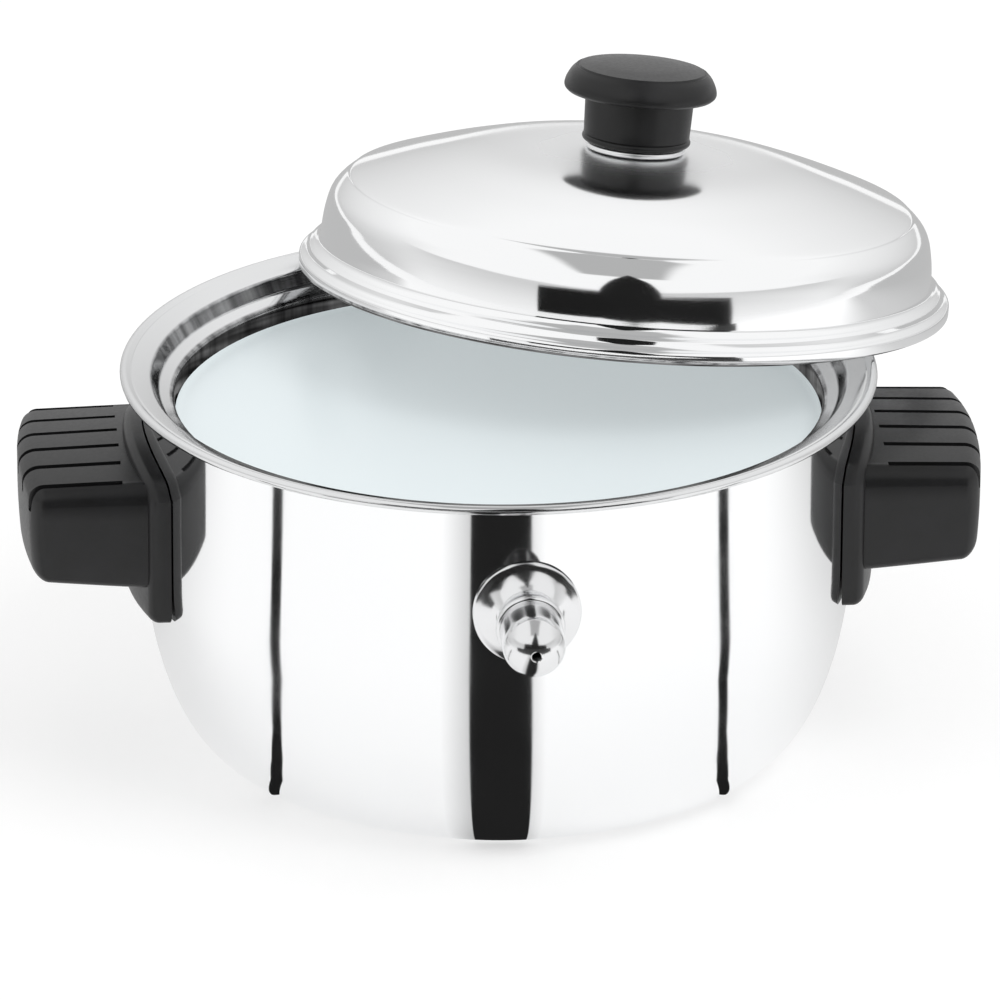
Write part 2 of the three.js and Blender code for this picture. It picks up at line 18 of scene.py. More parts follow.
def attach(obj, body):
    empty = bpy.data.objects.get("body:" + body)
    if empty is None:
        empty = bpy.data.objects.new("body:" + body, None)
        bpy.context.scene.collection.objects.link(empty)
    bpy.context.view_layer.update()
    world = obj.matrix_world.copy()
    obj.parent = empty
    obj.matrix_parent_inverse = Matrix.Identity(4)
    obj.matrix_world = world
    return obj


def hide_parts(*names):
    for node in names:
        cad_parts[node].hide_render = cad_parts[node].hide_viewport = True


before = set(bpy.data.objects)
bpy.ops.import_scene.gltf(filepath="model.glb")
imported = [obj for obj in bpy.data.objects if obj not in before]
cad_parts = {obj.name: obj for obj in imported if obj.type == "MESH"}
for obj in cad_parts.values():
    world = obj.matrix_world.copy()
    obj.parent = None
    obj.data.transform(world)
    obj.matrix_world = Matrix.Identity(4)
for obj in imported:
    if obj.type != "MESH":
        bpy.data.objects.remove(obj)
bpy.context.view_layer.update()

MM = 0.001
MERGE = 0.002 * MM
Point = tuple[float, float]
Place = tuple[float, float, float]
Colour = tuple[float, float, float]
Socket = bpy.types.NodeSocket
Piece = bpy.types.Object
Finish = bpy.types.Material
Value = Socket | float
logging.basicConfig(level=logging.INFO, format="%(levelname)s %(message)s")
log = logging.getLogger("milk_boiler")


class Body(Enum):
    """The moving bodies of the frame."""

    BOILER = "boiler"
    LID = "lid"
    GASKET = "gasket"
    WHISTLE = "whistle"


class Slot(Enum):
    """The record's material slots."""

    MIRROR = "mirror_steel"
    SATIN = "satin_steel"
    CHROME = "whistle_chrome"
    ZINC = "zinc_steel"
    BAKELITE = "bakelite"
    RUBBER = "gasket_rubber"


# Curves in the plane of a profile


def arc(centre: Point, radius: float, start: float, end: float, steps: int) -> list[Point]:
    """Points along a circular arc.

    Args:
        centre: middle of the circle.
        radius: radius in millimetres.
        start: first angle in degrees.
        end: last angle in degrees.
        steps: spans between the first and the last point.

    Returns:
        The points, both ends included.
    """
    angles = np.radians(np.linspace(start, end, steps + 1))
    return [(centre[0] + radius * math.cos(a), centre[1] + radius * math.sin(a)) for a in angles]


def disc(flat: float, height: float) -> list[Point]:
    """Points of a flat floor, from the axis to just inside its edge."""
    return [(0.0, height), (flat / 2, height), (flat - 1.0, height)]


def bowl(flat: float, wall: float, floor: float, rise: float, steps: int) -> list[Point]:
    """The quarter ellipse that joins a flat floor to an upright wall.

    Args:
        flat: radius of the flat floor.
        wall: radius of the wall.
        floor: height of the floor.
        rise: height where the wall becomes upright.
        steps: spans along the curve.

    Returns:
        The points from the floor up to the wall.
    """
    angles = np.linspace(0, math.pi / 2, steps + 1)
    return [
        (flat + (wall - flat) * math.sin(a), floor + (rise - floor) * (1 - math.cos(a)))
        for a in angles
    ]


def smooth(points: Sequence[Point], steps: int) -> list[Point]:
    """A soft curve through points.

    Args:
        points: the points that the curve passes.
        steps: spans between neighbours.

    Returns:
        Points along the curve, both ends included.
    """
    knots = [np.array(p) for p in points]
    knots = [2 * knots[0] - knots[1], *knots, 2 * knots[-1] - knots[-2]]
    curve: list[Point] = []
    for a, b, c, d in zip(knots, knots[1:], knots[2:], knots[3:]):
        for t in np.linspace(0, 1, steps, endpoint=False):
            p = 2 * b + (c - a) * t + (2 * a - 5 * b + 4 * c - d) * t**2
            p = (p + (3 * b - a - 3 * c + d) * t**3) / 2
            curve.append((float(p[0]), float(p[1])))
    curve.append(tuple(points[-1]))
    return curve


def inner_side(points: Sequence[Point], sheet: float) -> list[Point]:
    """The same curve a sheet's thickness to its left.

    Args:
        points: the outer face of the sheet.
        sheet: thickness.

    Returns:
        The inner face, in the same order.
    """
    run = np.array(points)
    along = np.gradient(run, axis=0)
    along /= np.linalg.norm(along, axis=1)[:, None]
    inner = run + sheet * np.column_stack([-along[:, 1], along[:, 0]])
    return [(float(r), float(z)) for r, z in inner]


# Finishes


class Nodes:
    """A node tree, with short ways to add and link nodes."""

    def __init__(self, name: str, tree: Optional[bpy.types.NodeTree] = None) -> None:
        """Starts a material that holds only its surface shader, or takes a tree that exists.

        Args:
            name: name of the material.
            tree: the tree to work in, or None for a new material's.
        """
        if tree is not None:
            self.tree = tree
            return
        self.material = bpy.data.materials.new(name)
        self.material.use_nodes = True
        self.tree = self.material.node_tree
        self.shader = self.tree.nodes["Principled BSDF"]

    @staticmethod
    def sockets(node: bpy.types.Node) -> dict[str, Socket]:
        """A node's inputs by their lower-case names, the first of each name.

        Args:
            node: the node.

        Returns:
            The inputs.
        """
        found: dict[str, Socket] = {}
        for socket in node.inputs:
            found.setdefault(socket.name.lower().replace(" ", "_"), socket)
        return found

    def surface(self, **values: object) -> None:
        """Sets plain values of the surface shader.

        Args:
            values: values for its sockets, by their lower-case names.
        """
        sockets = self.sockets(self.shader)
        for key, value in values.items():
            sockets[key].default_value = value

    def add(self, kind: str, **settings: object) -> bpy.types.Node:
        """Adds a node and sets its properties and sockets.

        Args:
            kind: Blender's name of the node type.
            settings: values for properties, or for sockets by their lower-case name.

        Returns:
            The new node.
        """
        node = self.tree.nodes.new(kind)
        sockets = self.sockets(node)
        for key, value in settings.items():
            if key in sockets:
                sockets[key].default_value = value
            else:
                setattr(node, key, value)
        return node

    def link(self, source: Socket, target: Socket) -> None:
        """Joins an output to an input."""
        self.tree.links.new(source, target)

    def place(self, pose: Optional[Matrix] = None) -> Socket:
        """Object coordinates, in the piece's own frame where it has one.

        Args:
            pose: where the piece stands, or None for the row frame.

        Returns:
            The vector socket.
        """
        where = self.add("ShaderNodeTexCoord").outputs["Object"]
        if pose is None:
            return where
        mapping = self.add("ShaderNodeMapping", vector_type="TEXTURE")
        mapping.inputs["Location"].default_value = pose.to_translation()
        mapping.inputs["Rotation"].default_value = pose.to_euler()
        self.link(where, mapping.inputs["Vector"])
        return mapping.outputs["Vector"]

    def noise(self, where: Socket, scale: float, detail: float) -> Socket:
        """A noise value over a vector.

        Args:
            where: the vector socket.
            scale: cells to the metre.
            detail: octaves.

        Returns:
            The value socket.
        """
        node = self.add("ShaderNodeTexNoise", scale=scale, detail=detail)
        self.link(where, node.inputs["Vector"])
        return node.outputs["Fac"]

    def between(self, value: Socket, low: float, high: float) -> Socket:
        """Spreads a noise value between two numbers.

        Args:
            value: the noise.
            low: number for its lower third.
            high: number for its upper third.

        Returns:
            The spread value.
        """
        node = self.add("ShaderNodeMapRange", from_min=0.33, from_max=0.67, to_min=low, to_max=high)
        self.link(value, node.inputs["Value"])
        return node.outputs["Result"]

    def feed(self, value: Value, target: Socket) -> None:
        """Links a socket's value or sets a plain number.

        Args:
            value: the socket or the number.
            target: the input that takes it.
        """
        if isinstance(value, (int, float)):
            target.default_value = value
        else:
            self.link(value, target)

    def join(self, operation: str, first: Value, second: Value) -> Socket:
        """A sum, product or other join of two values.

        Args:
            operation: Blender's name of the operation.
            first: the first value.
            second: the second value.

        Returns:
            The joined value.
        """
        node = self.add("ShaderNodeMath", operation=operation)
        self.feed(first, node.inputs[0])
        self.feed(second, node.inputs[1])
        return node.outputs["Value"]

    def along(self, where: Socket, direction: Vector) -> Socket:
        """How far a vector goes along a direction.

        Args:
            where: the vector socket.
            direction: the direction, of length 1.

        Returns:
            The distance.
        """
        node = self.add("ShaderNodeVectorMath", operation="DOT_PRODUCT")
        self.link(where, node.inputs[0])
        node.inputs[1].default_value = direction
        return node.outputs["Value"]

    def step(self, value: Socket, start: float, end: float) -> Socket:
        """A soft step from 0 to 1 between two numbers.

        Args:
            value: the value that is followed.
            start: where the step is 0.
            end: where it is 1.

        Returns:
            The step.
        """
        node = self.add(
            "ShaderNodeMapRange", interpolation_type="SMOOTHSTEP", from_min=start, from_max=end
        )
        self.link(value, node.inputs["Value"])
        return node.outputs["Result"]

    def ramp(self, value: Socket, stops: Sequence[Point]) -> Socket:
        """A level that follows a value from stop to stop.

        Args:
            value: a value between 0 and 1.
            stops: pairs of value and level.

        Returns:
            The level.
        """
        node = self.add("ShaderNodeValToRGB")
        elements = node.color_ramp.elements
        while len(elements) < len(stops):
            elements.new(0.5)
        for element, (place, level) in zip(elements, stops):
            element.position = place
            element.color = (level, level, level, 1)
        self.link(value, node.inputs["Fac"])
        return node.outputs["Color"]

    def blend(self, share: Socket, first: Value, second: Value) -> Socket:
        """Goes from one value to another by a share.

        Args:
            share: how much of the second value is taken, from 0 to 1.
            first: the first value.
            second: the second value.

        Returns:
            The blended value.
        """
        node = self.add("ShaderNodeMix", data_type="FLOAT")
        self.link(share, node.inputs[0])
        self.feed(first, node.inputs[2])
        self.feed(second, node.inputs[3])
        return node.outputs[0]

    def tints(self, share: Socket, first: Colour, second: Colour) -> None:
        """Colours the surface from one tint to another by a share.

        Args:
            share: how much of the second tint is taken, from 0 to 1.
            first: the first tint.
            second: the second tint.
        """
        node = self.add("ShaderNodeMix", data_type="RGBA")
        self.link(share, node.inputs[0])
        node.inputs[6].default_value = (*first, 1)
        node.inputs[7].default_value = (*second, 1)
        self.link(node.outputs[2], self.shader.inputs["Base Color"])

    def bump(self, height: Socket, depth: float, strength: float) -> None:
        """Raises the surface by a value.

        Args:
            height: the value.
            depth: height of a step from 0 to 1, in metres.
            strength: how much of it shows.
        """
        node = self.add("ShaderNodeBump", distance=depth, strength=strength)
        self.link(height, node.inputs["Height"])
        self.link(node.outputs["Normal"], self.shader.inputs["Normal"])


@dataclass(frozen=True)
class Steel:
    """Steel sheet polished on a lathe, so its marks run round an axis."""

    name: str
    tint: Colour = (0.93, 0.935, 0.94)
    roughness: float = 0.05
    haze: float = 0.04
    smear_scale: float = 28
    ring_pitch: float = 0.6
    ring_depth: float = 0.004
    ring_strength: float = 0.5
    centre_haze: float = 0.0
    haze_edge: float = 60.0
    haze_core: float = 14.0
    # painted reflection: dark streaks in bands round the axis, drawn into the tint
    painted_reflection_bands: tuple[Point, ...] = ()
    painted_reflection_edge: float = 0.4
    painted_reflection_scale: float = 12
    painted_reflection_shares: Point = (0.97, 0.15)
    painted_reflection_tint: Colour = (0.02, 0.02, 0.022)
    pose: Optional[Matrix] = None

    def material(self) -> Finish:
        """The polished steel.

        Returns:
            The material.
        """
        nodes = Nodes(self.name)
        where = nodes.place(self.pose)
        split = nodes.add("ShaderNodeSeparateXYZ")
        nodes.link(where, split.inputs["Vector"])
        flat = nodes.add("ShaderNodeCombineXYZ")
        nodes.link(split.outputs["X"], flat.inputs["X"])
        nodes.link(split.outputs["Y"], flat.inputs["Y"])
        reach = nodes.add("ShaderNodeVectorMath", operation="LENGTH")
        nodes.link(flat.outputs["Vector"], reach.inputs[0])
        turned = nodes.add("ShaderNodeCombineXYZ")
        nodes.link(reach.outputs["Value"], turned.inputs["X"])
        nodes.link(split.outputs["Z"], turned.inputs["Y"])
        rings = nodes.noise(turned.outputs["Vector"], 1 / (self.ring_pitch * MM), 3)
        smears = nodes.noise(where, self.smear_scale, 4)
        rough = nodes.between(smears, self.roughness, self.roughness + self.haze)
        if self.centre_haze:
            dull = nodes.step(reach.outputs["Value"], self.haze_edge * MM, self.haze_core * MM)
            rough = nodes.join("ADD", rough, nodes.join("MULTIPLY", dull, self.centre_haze))
        nodes.link(rough, nodes.shader.inputs["Roughness"])
        nodes.bump(rings, self.ring_depth * MM, self.ring_strength)
        nodes.surface(base_color=(*self.tint, 1), metallic=1)
        if self.painted_reflection_bands:
            self.streak(nodes, flat.outputs["Vector"], reach.outputs["Value"])
        return nodes.material

    def streak(self, nodes: Nodes, flat: Socket, reach: Socket) -> None:
        """Darkens bands round the axis in streaks, a painted reflection of dark surroundings on the
        walls.

        Args:
            nodes: the material's nodes.
            flat: place across the axis.
            reach: distance from the axis.
        """
        soft = self.painted_reflection_edge * MM
        band: Value = 0.0
        for low, high in self.painted_reflection_bands:
            above = nodes.step(reach, low * MM - soft, low * MM + soft)
            below = nodes.step(reach, high * MM + soft, high * MM - soft)
            band = nodes.join("ADD", nodes.join("MULTIPLY", above, below), band)
        round_it = nodes.add("ShaderNodeVectorMath", operation="NORMALIZE")
        nodes.link(flat, round_it.inputs[0])
        marks = nodes.noise(round_it.outputs["Vector"], self.painted_reflection_scale, 6)
        streaks = nodes.between(marks, *self.painted_reflection_shares)
        nodes.tints(nodes.join("MULTIPLY", band, streaks), self.tint, self.painted_reflection_tint)


@dataclass(frozen=True)
class Zinc:
    """Plated steel with a faint spangle."""

    name: str
    tint: Colour = (0.55, 0.56, 0.57)
    roughness: Point = (0.28, 0.42)
    spangle_scale: float = 700
    grain: float = 2600
    grain_depth: float = 0.01
    grain_strength: float = 0.4

    def material(self) -> Finish:
        """The plated steel.

        Returns:
            The material.
        """
        nodes = Nodes(self.name)
        where = nodes.place()
        cells = nodes.add("ShaderNodeTexVoronoi", scale=self.spangle_scale)
        nodes.link(where, cells.inputs["Vector"])
        split = nodes.add("ShaderNodeSeparateColor")
        nodes.link(cells.outputs["Color"], split.inputs["Color"])
        rough = nodes.between(split.outputs["Red"], *self.roughness)
        nodes.link(rough, nodes.shader.inputs["Roughness"])
        nodes.bump(nodes.noise(where, self.grain, 2), self.grain_depth * MM, self.grain_strength)
        nodes.surface(base_color=(*self.tint, 1), metallic=1)
        return nodes.material


@dataclass(frozen=True)
class Moulded:
    """A dull moulded piece: thermoset or rubber, with fine grain and faint clouds."""

    name: str
    dark: Colour
    light: Colour
    roughness: float
    specular: float
    roughness_spread: float = 0.03
    cloud_scale: float = 60
    grain: float = 900
    grain_depth: float = 0.008
    grain_strength: float = 0.6

    def material(self) -> Finish:
        """The moulded finish.

        Returns:
            The material.
        """
        nodes = Nodes(self.name)
        where = nodes.place()
        clouds = nodes.noise(where, self.cloud_scale, 5)
        nodes.tints(nodes.between(clouds, 0, 1), self.dark, self.light)
        grain = nodes.noise(where, self.grain, 3)
        spread = self.roughness_spread
        rough = nodes.between(grain, self.roughness - spread, self.roughness + spread)
        nodes.link(rough, nodes.shader.inputs["Roughness"])
        nodes.bump(grain, self.grain_depth * MM, self.grain_strength)
        nodes.surface(specular_ior_level=self.specular)
        return nodes.material


# Modelling steps


class Bench:
    """Modelling steps that several sub-assemblies share."""

    @staticmethod
    def pick(piece: Piece) -> None:
        """Selects one piece alone and makes it active.

        Args:
            piece: the piece.
        """
        bpy.ops.object.select_all(action="DESELECT")
        bpy.context.view_layer.objects.active = piece
        piece.select_set(True)

    @staticmethod
    def rod(
        radius: float, length: float, sides: int, place: Place = (0, 0, 0), level: bool = False
    ) -> Piece:
        """A plain cylinder to cut with.

        Args:
            radius: radius in millimetres.
            length: length in millimetres.
            sides: facets round it.
            place: its middle in millimetres.
            level: whether it lies along Y instead of standing along Z.

        Returns:
            The cylinder.
        """
        bpy.ops.object.select_all(action="DESELECT")
        bpy.ops.mesh.primitive_cylinder_add(
            vertices=sides,
            radius=radius * MM,
            depth=length * MM,
            location=tuple(c * MM for c in place),
            rotation=(math.pi / 2 if level else 0, 0, 0),
        )
        return bpy.context.object

    @staticmethod
    def start(name: str, first: Vector) -> Piece:
        """Merges a plane into one vertex, and stays in edit mode on it.

        Args:
            name: name of the piece.
            first: place of the vertex, in metres.

        Returns:
            The new piece.
        """
        bpy.ops.object.select_all(action="DESELECT")
        bpy.ops.mesh.primitive_plane_add(size=MM, location=(0, 0, 0))
        piece = bpy.context.object
        piece.name = name
        bpy.ops.object.mode_set(mode="EDIT")
        bpy.ops.mesh.select_all(action="SELECT")
        bpy.ops.mesh.merge(type="CENTER")
        bpy.ops.transform.translate(value=first)
        return piece

    @staticmethod
    def trace(name: str, path: Sequence[Vector], closed: bool) -> Piece:
        """Extrudes a vertex along a path, and stays in edit mode with all of it selected.

        Args:
            name: name of the piece.
            path: the path in metres.
            closed: whether the last point joins the first.

        Returns:
            The new piece.
        """
        piece = Bench.start(name, path[0])
        for here, there in zip(path, path[1:]):
            bpy.ops.mesh.extrude_region_move(TRANSFORM_OT_translate={"value": there - here})
        bpy.ops.mesh.select_all(action="SELECT")
        if closed:
            bpy.ops.mesh.edge_face_add()
        return piece

    @staticmethod
    def close(piece: Piece, crease: float) -> None:
        """Merges doubles, turns the faces outward and smooths all but the creases.

        Args:
            piece: the piece, in edit mode; not used, as the steps act on the active object.
            crease: angle in degrees past which an edge stays sharp.
        """
        bpy.ops.mesh.select_all(action="SELECT")
        bpy.ops.mesh.remove_doubles(threshold=MERGE)
        bpy.ops.mesh.normals_make_consistent(inside=False)
        bpy.ops.object.mode_set(mode="OBJECT")
        bpy.ops.object.shade_smooth_by_angle(angle=math.radians(crease))

    @staticmethod
    def turn(
        name: str, profile: Sequence[Point], steps: int, crease: float = 32, closed: bool = True
    ) -> Piece:
        """Spins a profile of (radius, height) points about Z.

        Args:
            name: name of the piece.
            profile: the points in millimetres.
            steps: facets round the axis.
            crease: angle in degrees past which an edge stays sharp.
            closed: whether the last point joins the first, unless both lie on the axis.

        Returns:
            The turned piece, in object mode.
        """
        path = [Vector((r, 0, z)) * MM for r, z in profile]
        if closed and (profile[0][0] > 0 or profile[-1][0] > 0):
            path.append(path[0])
        piece = Bench.trace(name, path, closed=False)
        bpy.ops.mesh.spin(steps=steps, angle=2 * math.pi, center=(0, 0, 0), axis=(0, 0, 1))
        Bench.close(piece, crease)
        return piece

    @staticmethod
    def loft(
        name: str,
        outline: Sequence[Point],
        levels: int,
        place: Callable[[int, float, float], Place],
        crease: float,
    ) -> Piece:
        """Extrudes an outline level by level, then moves each point to its place.

        Args:
            name: name of the piece.
            outline: closed outline of (across, height) points in millimetres.
            levels: number of outlines from end to end.
            place: gives a point's place in millimetres from its level, across and height.
            crease: angle in degrees past which an edge stays sharp.

        Returns:
            The piece, in object mode.
        """
        step = 10 * MM
        piece = Bench.trace(name, [Vector((0, y * MM, z * MM)) for y, z in outline], closed=True)
        for _ in range(levels - 1):
            bpy.ops.mesh.extrude_region_move(TRANSFORM_OT_translate={"value": (step, 0, 0)})
        bpy.ops.object.mode_set(mode="OBJECT")
        for vertex in piece.data.vertices:
            level = round(vertex.co.x / step)
            vertex.co = Vector(place(level, vertex.co.y / MM, vertex.co.z / MM)) * MM
        bpy.ops.object.mode_set(mode="EDIT")
        Bench.close(piece, crease)
        return piece

    @staticmethod
    def cut(piece: Piece, tool: Piece, operation: str) -> None:
        """Joins or cuts a piece by a tool, which is then removed.

        Args:
            piece: the piece that changes.
            tool: the tool.
            operation: UNION or DIFFERENCE.
        """
        Bench.pick(piece)
        modifier = piece.modifiers.new("cut", "BOOLEAN")
        modifier.operation = operation
        modifier.solver = "EXACT"
        modifier.object = tool
        bpy.ops.object.modifier_apply(modifier=modifier.name)
        bpy.data.objects.remove(tool)

    @staticmethod
    def stand(piece: Piece, pose: Matrix) -> None:
        """Moves a piece to its place and leaves its object at the origin.

        Args:
            piece: the piece.
            pose: where it stands.
        """
        Bench.pick(piece)
        piece.matrix_world = pose
        bpy.ops.object.transform_apply(location=True, rotation=True, scale=True)

    @staticmethod
    def copy(piece: Piece, name: str) -> Piece:
        """A copy of a piece with its own mesh.

        Args:
            piece: the piece to copy.
            name: name of the copy.

        Returns:
            The copy.
        """
        Bench.pick(piece)
        bpy.ops.object.duplicate()
        bpy.context.object.name = name
        return bpy.context.object


def hand_in(
    piece: Piece, node: str, body: Body, finish: Finish
) -> None:
    """Dresses a piece and puts it in place of its frame node.

    Args:
        piece: the piece.
        node: name of the frame node that it stands for.
        body: body that it moves with.
        finish: its material.
    """
    piece.data.materials.clear()
    piece.data.materials.append(finish)
    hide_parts(node)
    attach(piece, body.value)
    log.info("%s: %d faces", piece.name, len(piece.data.polygons))


def dress(node: str, finish: Finish) -> None:
    """Gives a frame node its finish.

    Args:
        node: name of the node.
        finish: its material.
    """
    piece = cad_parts[node]
    piece.data.materials.clear()
    piece.data.materials.append(finish)
    log.info("%s: frame node", node)


# Sub-assemblies, in millimetres


@dataclass
class Pans:
    """The jacket pan and the milk pan, which hang together at the rolled lip."""

    lip: float = 110.0
    height: float = 116.0
    overhang: float = 6.5
    bead: float = 1.3
    sheet: float = 0.9
    gap: float = 0.3
    base_inset: float = 27.3
    base_rise: float = 63.8
    lip_drop: float = 2.3
    ledge_step: float = 2.6
    ledge_width: float = 4.6
    ledge_depth: float = 6.8
    ledge_fall: float = 1.8
    pan_floor: float = 12.0
    pan_inset: float = 24.0
    pan_rise_drop: float = 3.0
    ring_pitch: float = 6.0
    rings: int = 7
    hem_gap: float = 0.2
    filler_hole: float = 6.3
    filler_height: float = 81.6
    drill: float = 20.0
    steps: int = 144

    @property
    def wall(self) -> float:
        """Outside radius of the jacket wall."""
        return self.lip - self.overhang

    @property
    def lip_bore(self) -> float:
        """Radius of the lip's inner edge."""
        return self.wall - 2 * self.sheet - self.gap

    @property
    def bore(self) -> float:
        """Radius of the milk pan's upright wall."""
        return self.lip_bore - self.ledge_step - self.ledge_width

    def lip_top(self, radius: float) -> float:
        """Height of the lip's top at a radius."""
        slope = self.lip_drop / (self.lip - self.bead - self.lip_bore)
        return self.height - self.lip_drop + (radius - self.lip_bore) * slope

    def upright(self, radius: float, start: float) -> list[Point]:
        """Points up an upright wall, evenly spaced above its bowl."""
        return [(radius, start + k * self.ring_pitch) for k in range(1, self.rings + 1)]

    def jacket(self) -> Piece:
        """The jacket pan with its filler hole.

        Returns:
            The piece.
        """
        under = self.gap + self.sheet
        edge = self.lip - 2 * self.bead - self.gap - self.hem_gap
        flat = self.wall - self.base_inset
        inner_flat = flat - 0.6
        inner_wall = self.wall - self.sheet
        inside = bowl(inner_flat, inner_wall, self.sheet, self.base_rise, 30)
        collar_top = self.lip_top(self.wall) - under
        bend_drop, bend_out = 0.6, 0.4
        profile = disc(flat, 0.0)
        profile += bowl(flat, self.wall, 0.0, self.base_rise, 36)
        profile += self.upright(self.wall, self.base_rise)
        profile += [
            (self.wall, collar_top - self.sheet - bend_drop),
            (self.wall + bend_out, collar_top - self.sheet),
            (edge, self.lip_top(edge) - under - self.sheet),
            (edge, self.lip_top(edge) - under),
            (inner_wall, self.lip_top(inner_wall) - under),
        ]
        profile += inside[::-1]
        profile += [(0.0, self.sheet)]
        piece = Bench.turn("outer_pan_shell", profile, self.steps)
        front = (0, -self.wall, self.filler_height)
        Bench.cut(piece, Bench.rod(self.filler_hole, self.drill, 48, front, level=True), "DIFFERENCE")
        return piece

    def milk_pan(self) -> Piece:
        """The milk pan with its lid ledge and rolled lip, whose bends small offsets round.

        Returns:
            The piece.
        """
        ledge_top = self.height - self.ledge_depth
        ledge_out = self.lip_bore - self.ledge_step
        flat = self.bore - self.pan_inset
        rise = self.base_rise - self.pan_rise_drop
        roll = (self.lip - self.bead, self.height - self.bead)
        crease = self.lip - 2 * self.bead - 0.5
        edge = self.lip - 2 * self.bead + 0.1
        under = self.sheet * 1.05
        ledge_foot = ledge_top - self.ledge_fall
        outer_floor = self.pan_floor - self.sheet
        outer_bore = self.bore + self.sheet
        profile = disc(flat, self.pan_floor)
        profile += bowl(flat, self.bore, self.pan_floor, rise, 32)
        profile += self.upright(self.bore, rise)
        profile += [
            (self.bore, ledge_foot - 1.0),
            (self.bore + 0.3, ledge_foot - 0.25),
            (self.bore + 0.9, ledge_foot + 0.2),
            (ledge_out - 0.7, ledge_top - 0.2),
            (ledge_out - 0.1, ledge_top + 0.2),
            (ledge_out + 0.3, ledge_top + 0.8),
            (self.lip_bore - 0.8, self.lip_top(self.lip_bore) - 1.0),
            (self.lip_bore - 0.3, self.lip_top(self.lip_bore) - 0.3),
            (self.lip_bore + 0.4, self.lip_top(self.lip_bore + 0.4)),
            (crease - 0.35, self.lip_top(crease - 0.35)),
            (crease, self.lip_top(crease) - 0.28),
        ]
        profile += arc(roll, self.bead, 125, -90, 14)
        profile += [
            (edge, roll[1] - self.bead * 0.55),
            (edge, self.lip_top(edge) - under),
            (self.lip_bore + self.sheet, self.lip_top(self.lip_bore + self.sheet) - under),
            (ledge_out + self.sheet * 0.95, ledge_top - self.sheet * 0.6),
            (outer_bore, ledge_foot - self.sheet * 0.7),
        ]
        profile += bowl(flat + 0.4, outer_bore, outer_floor, rise, 24)[::-1]
        profile += [(0.0, outer_floor)]
        return Bench.turn("inner_pan_shell", profile, self.steps)

    def build(self, mirror: Finish, satin: Finish) -> None:
        """Builds and dresses both pans.

        Args:
            mirror: finish of the jacket.
            satin: finish of the milk pan.
        """
        hand_in(self.jacket(), "outer_pan", Body.BOILER, mirror)
        hand_in(self.milk_pan(), "inner_pan", Body.BOILER, satin)


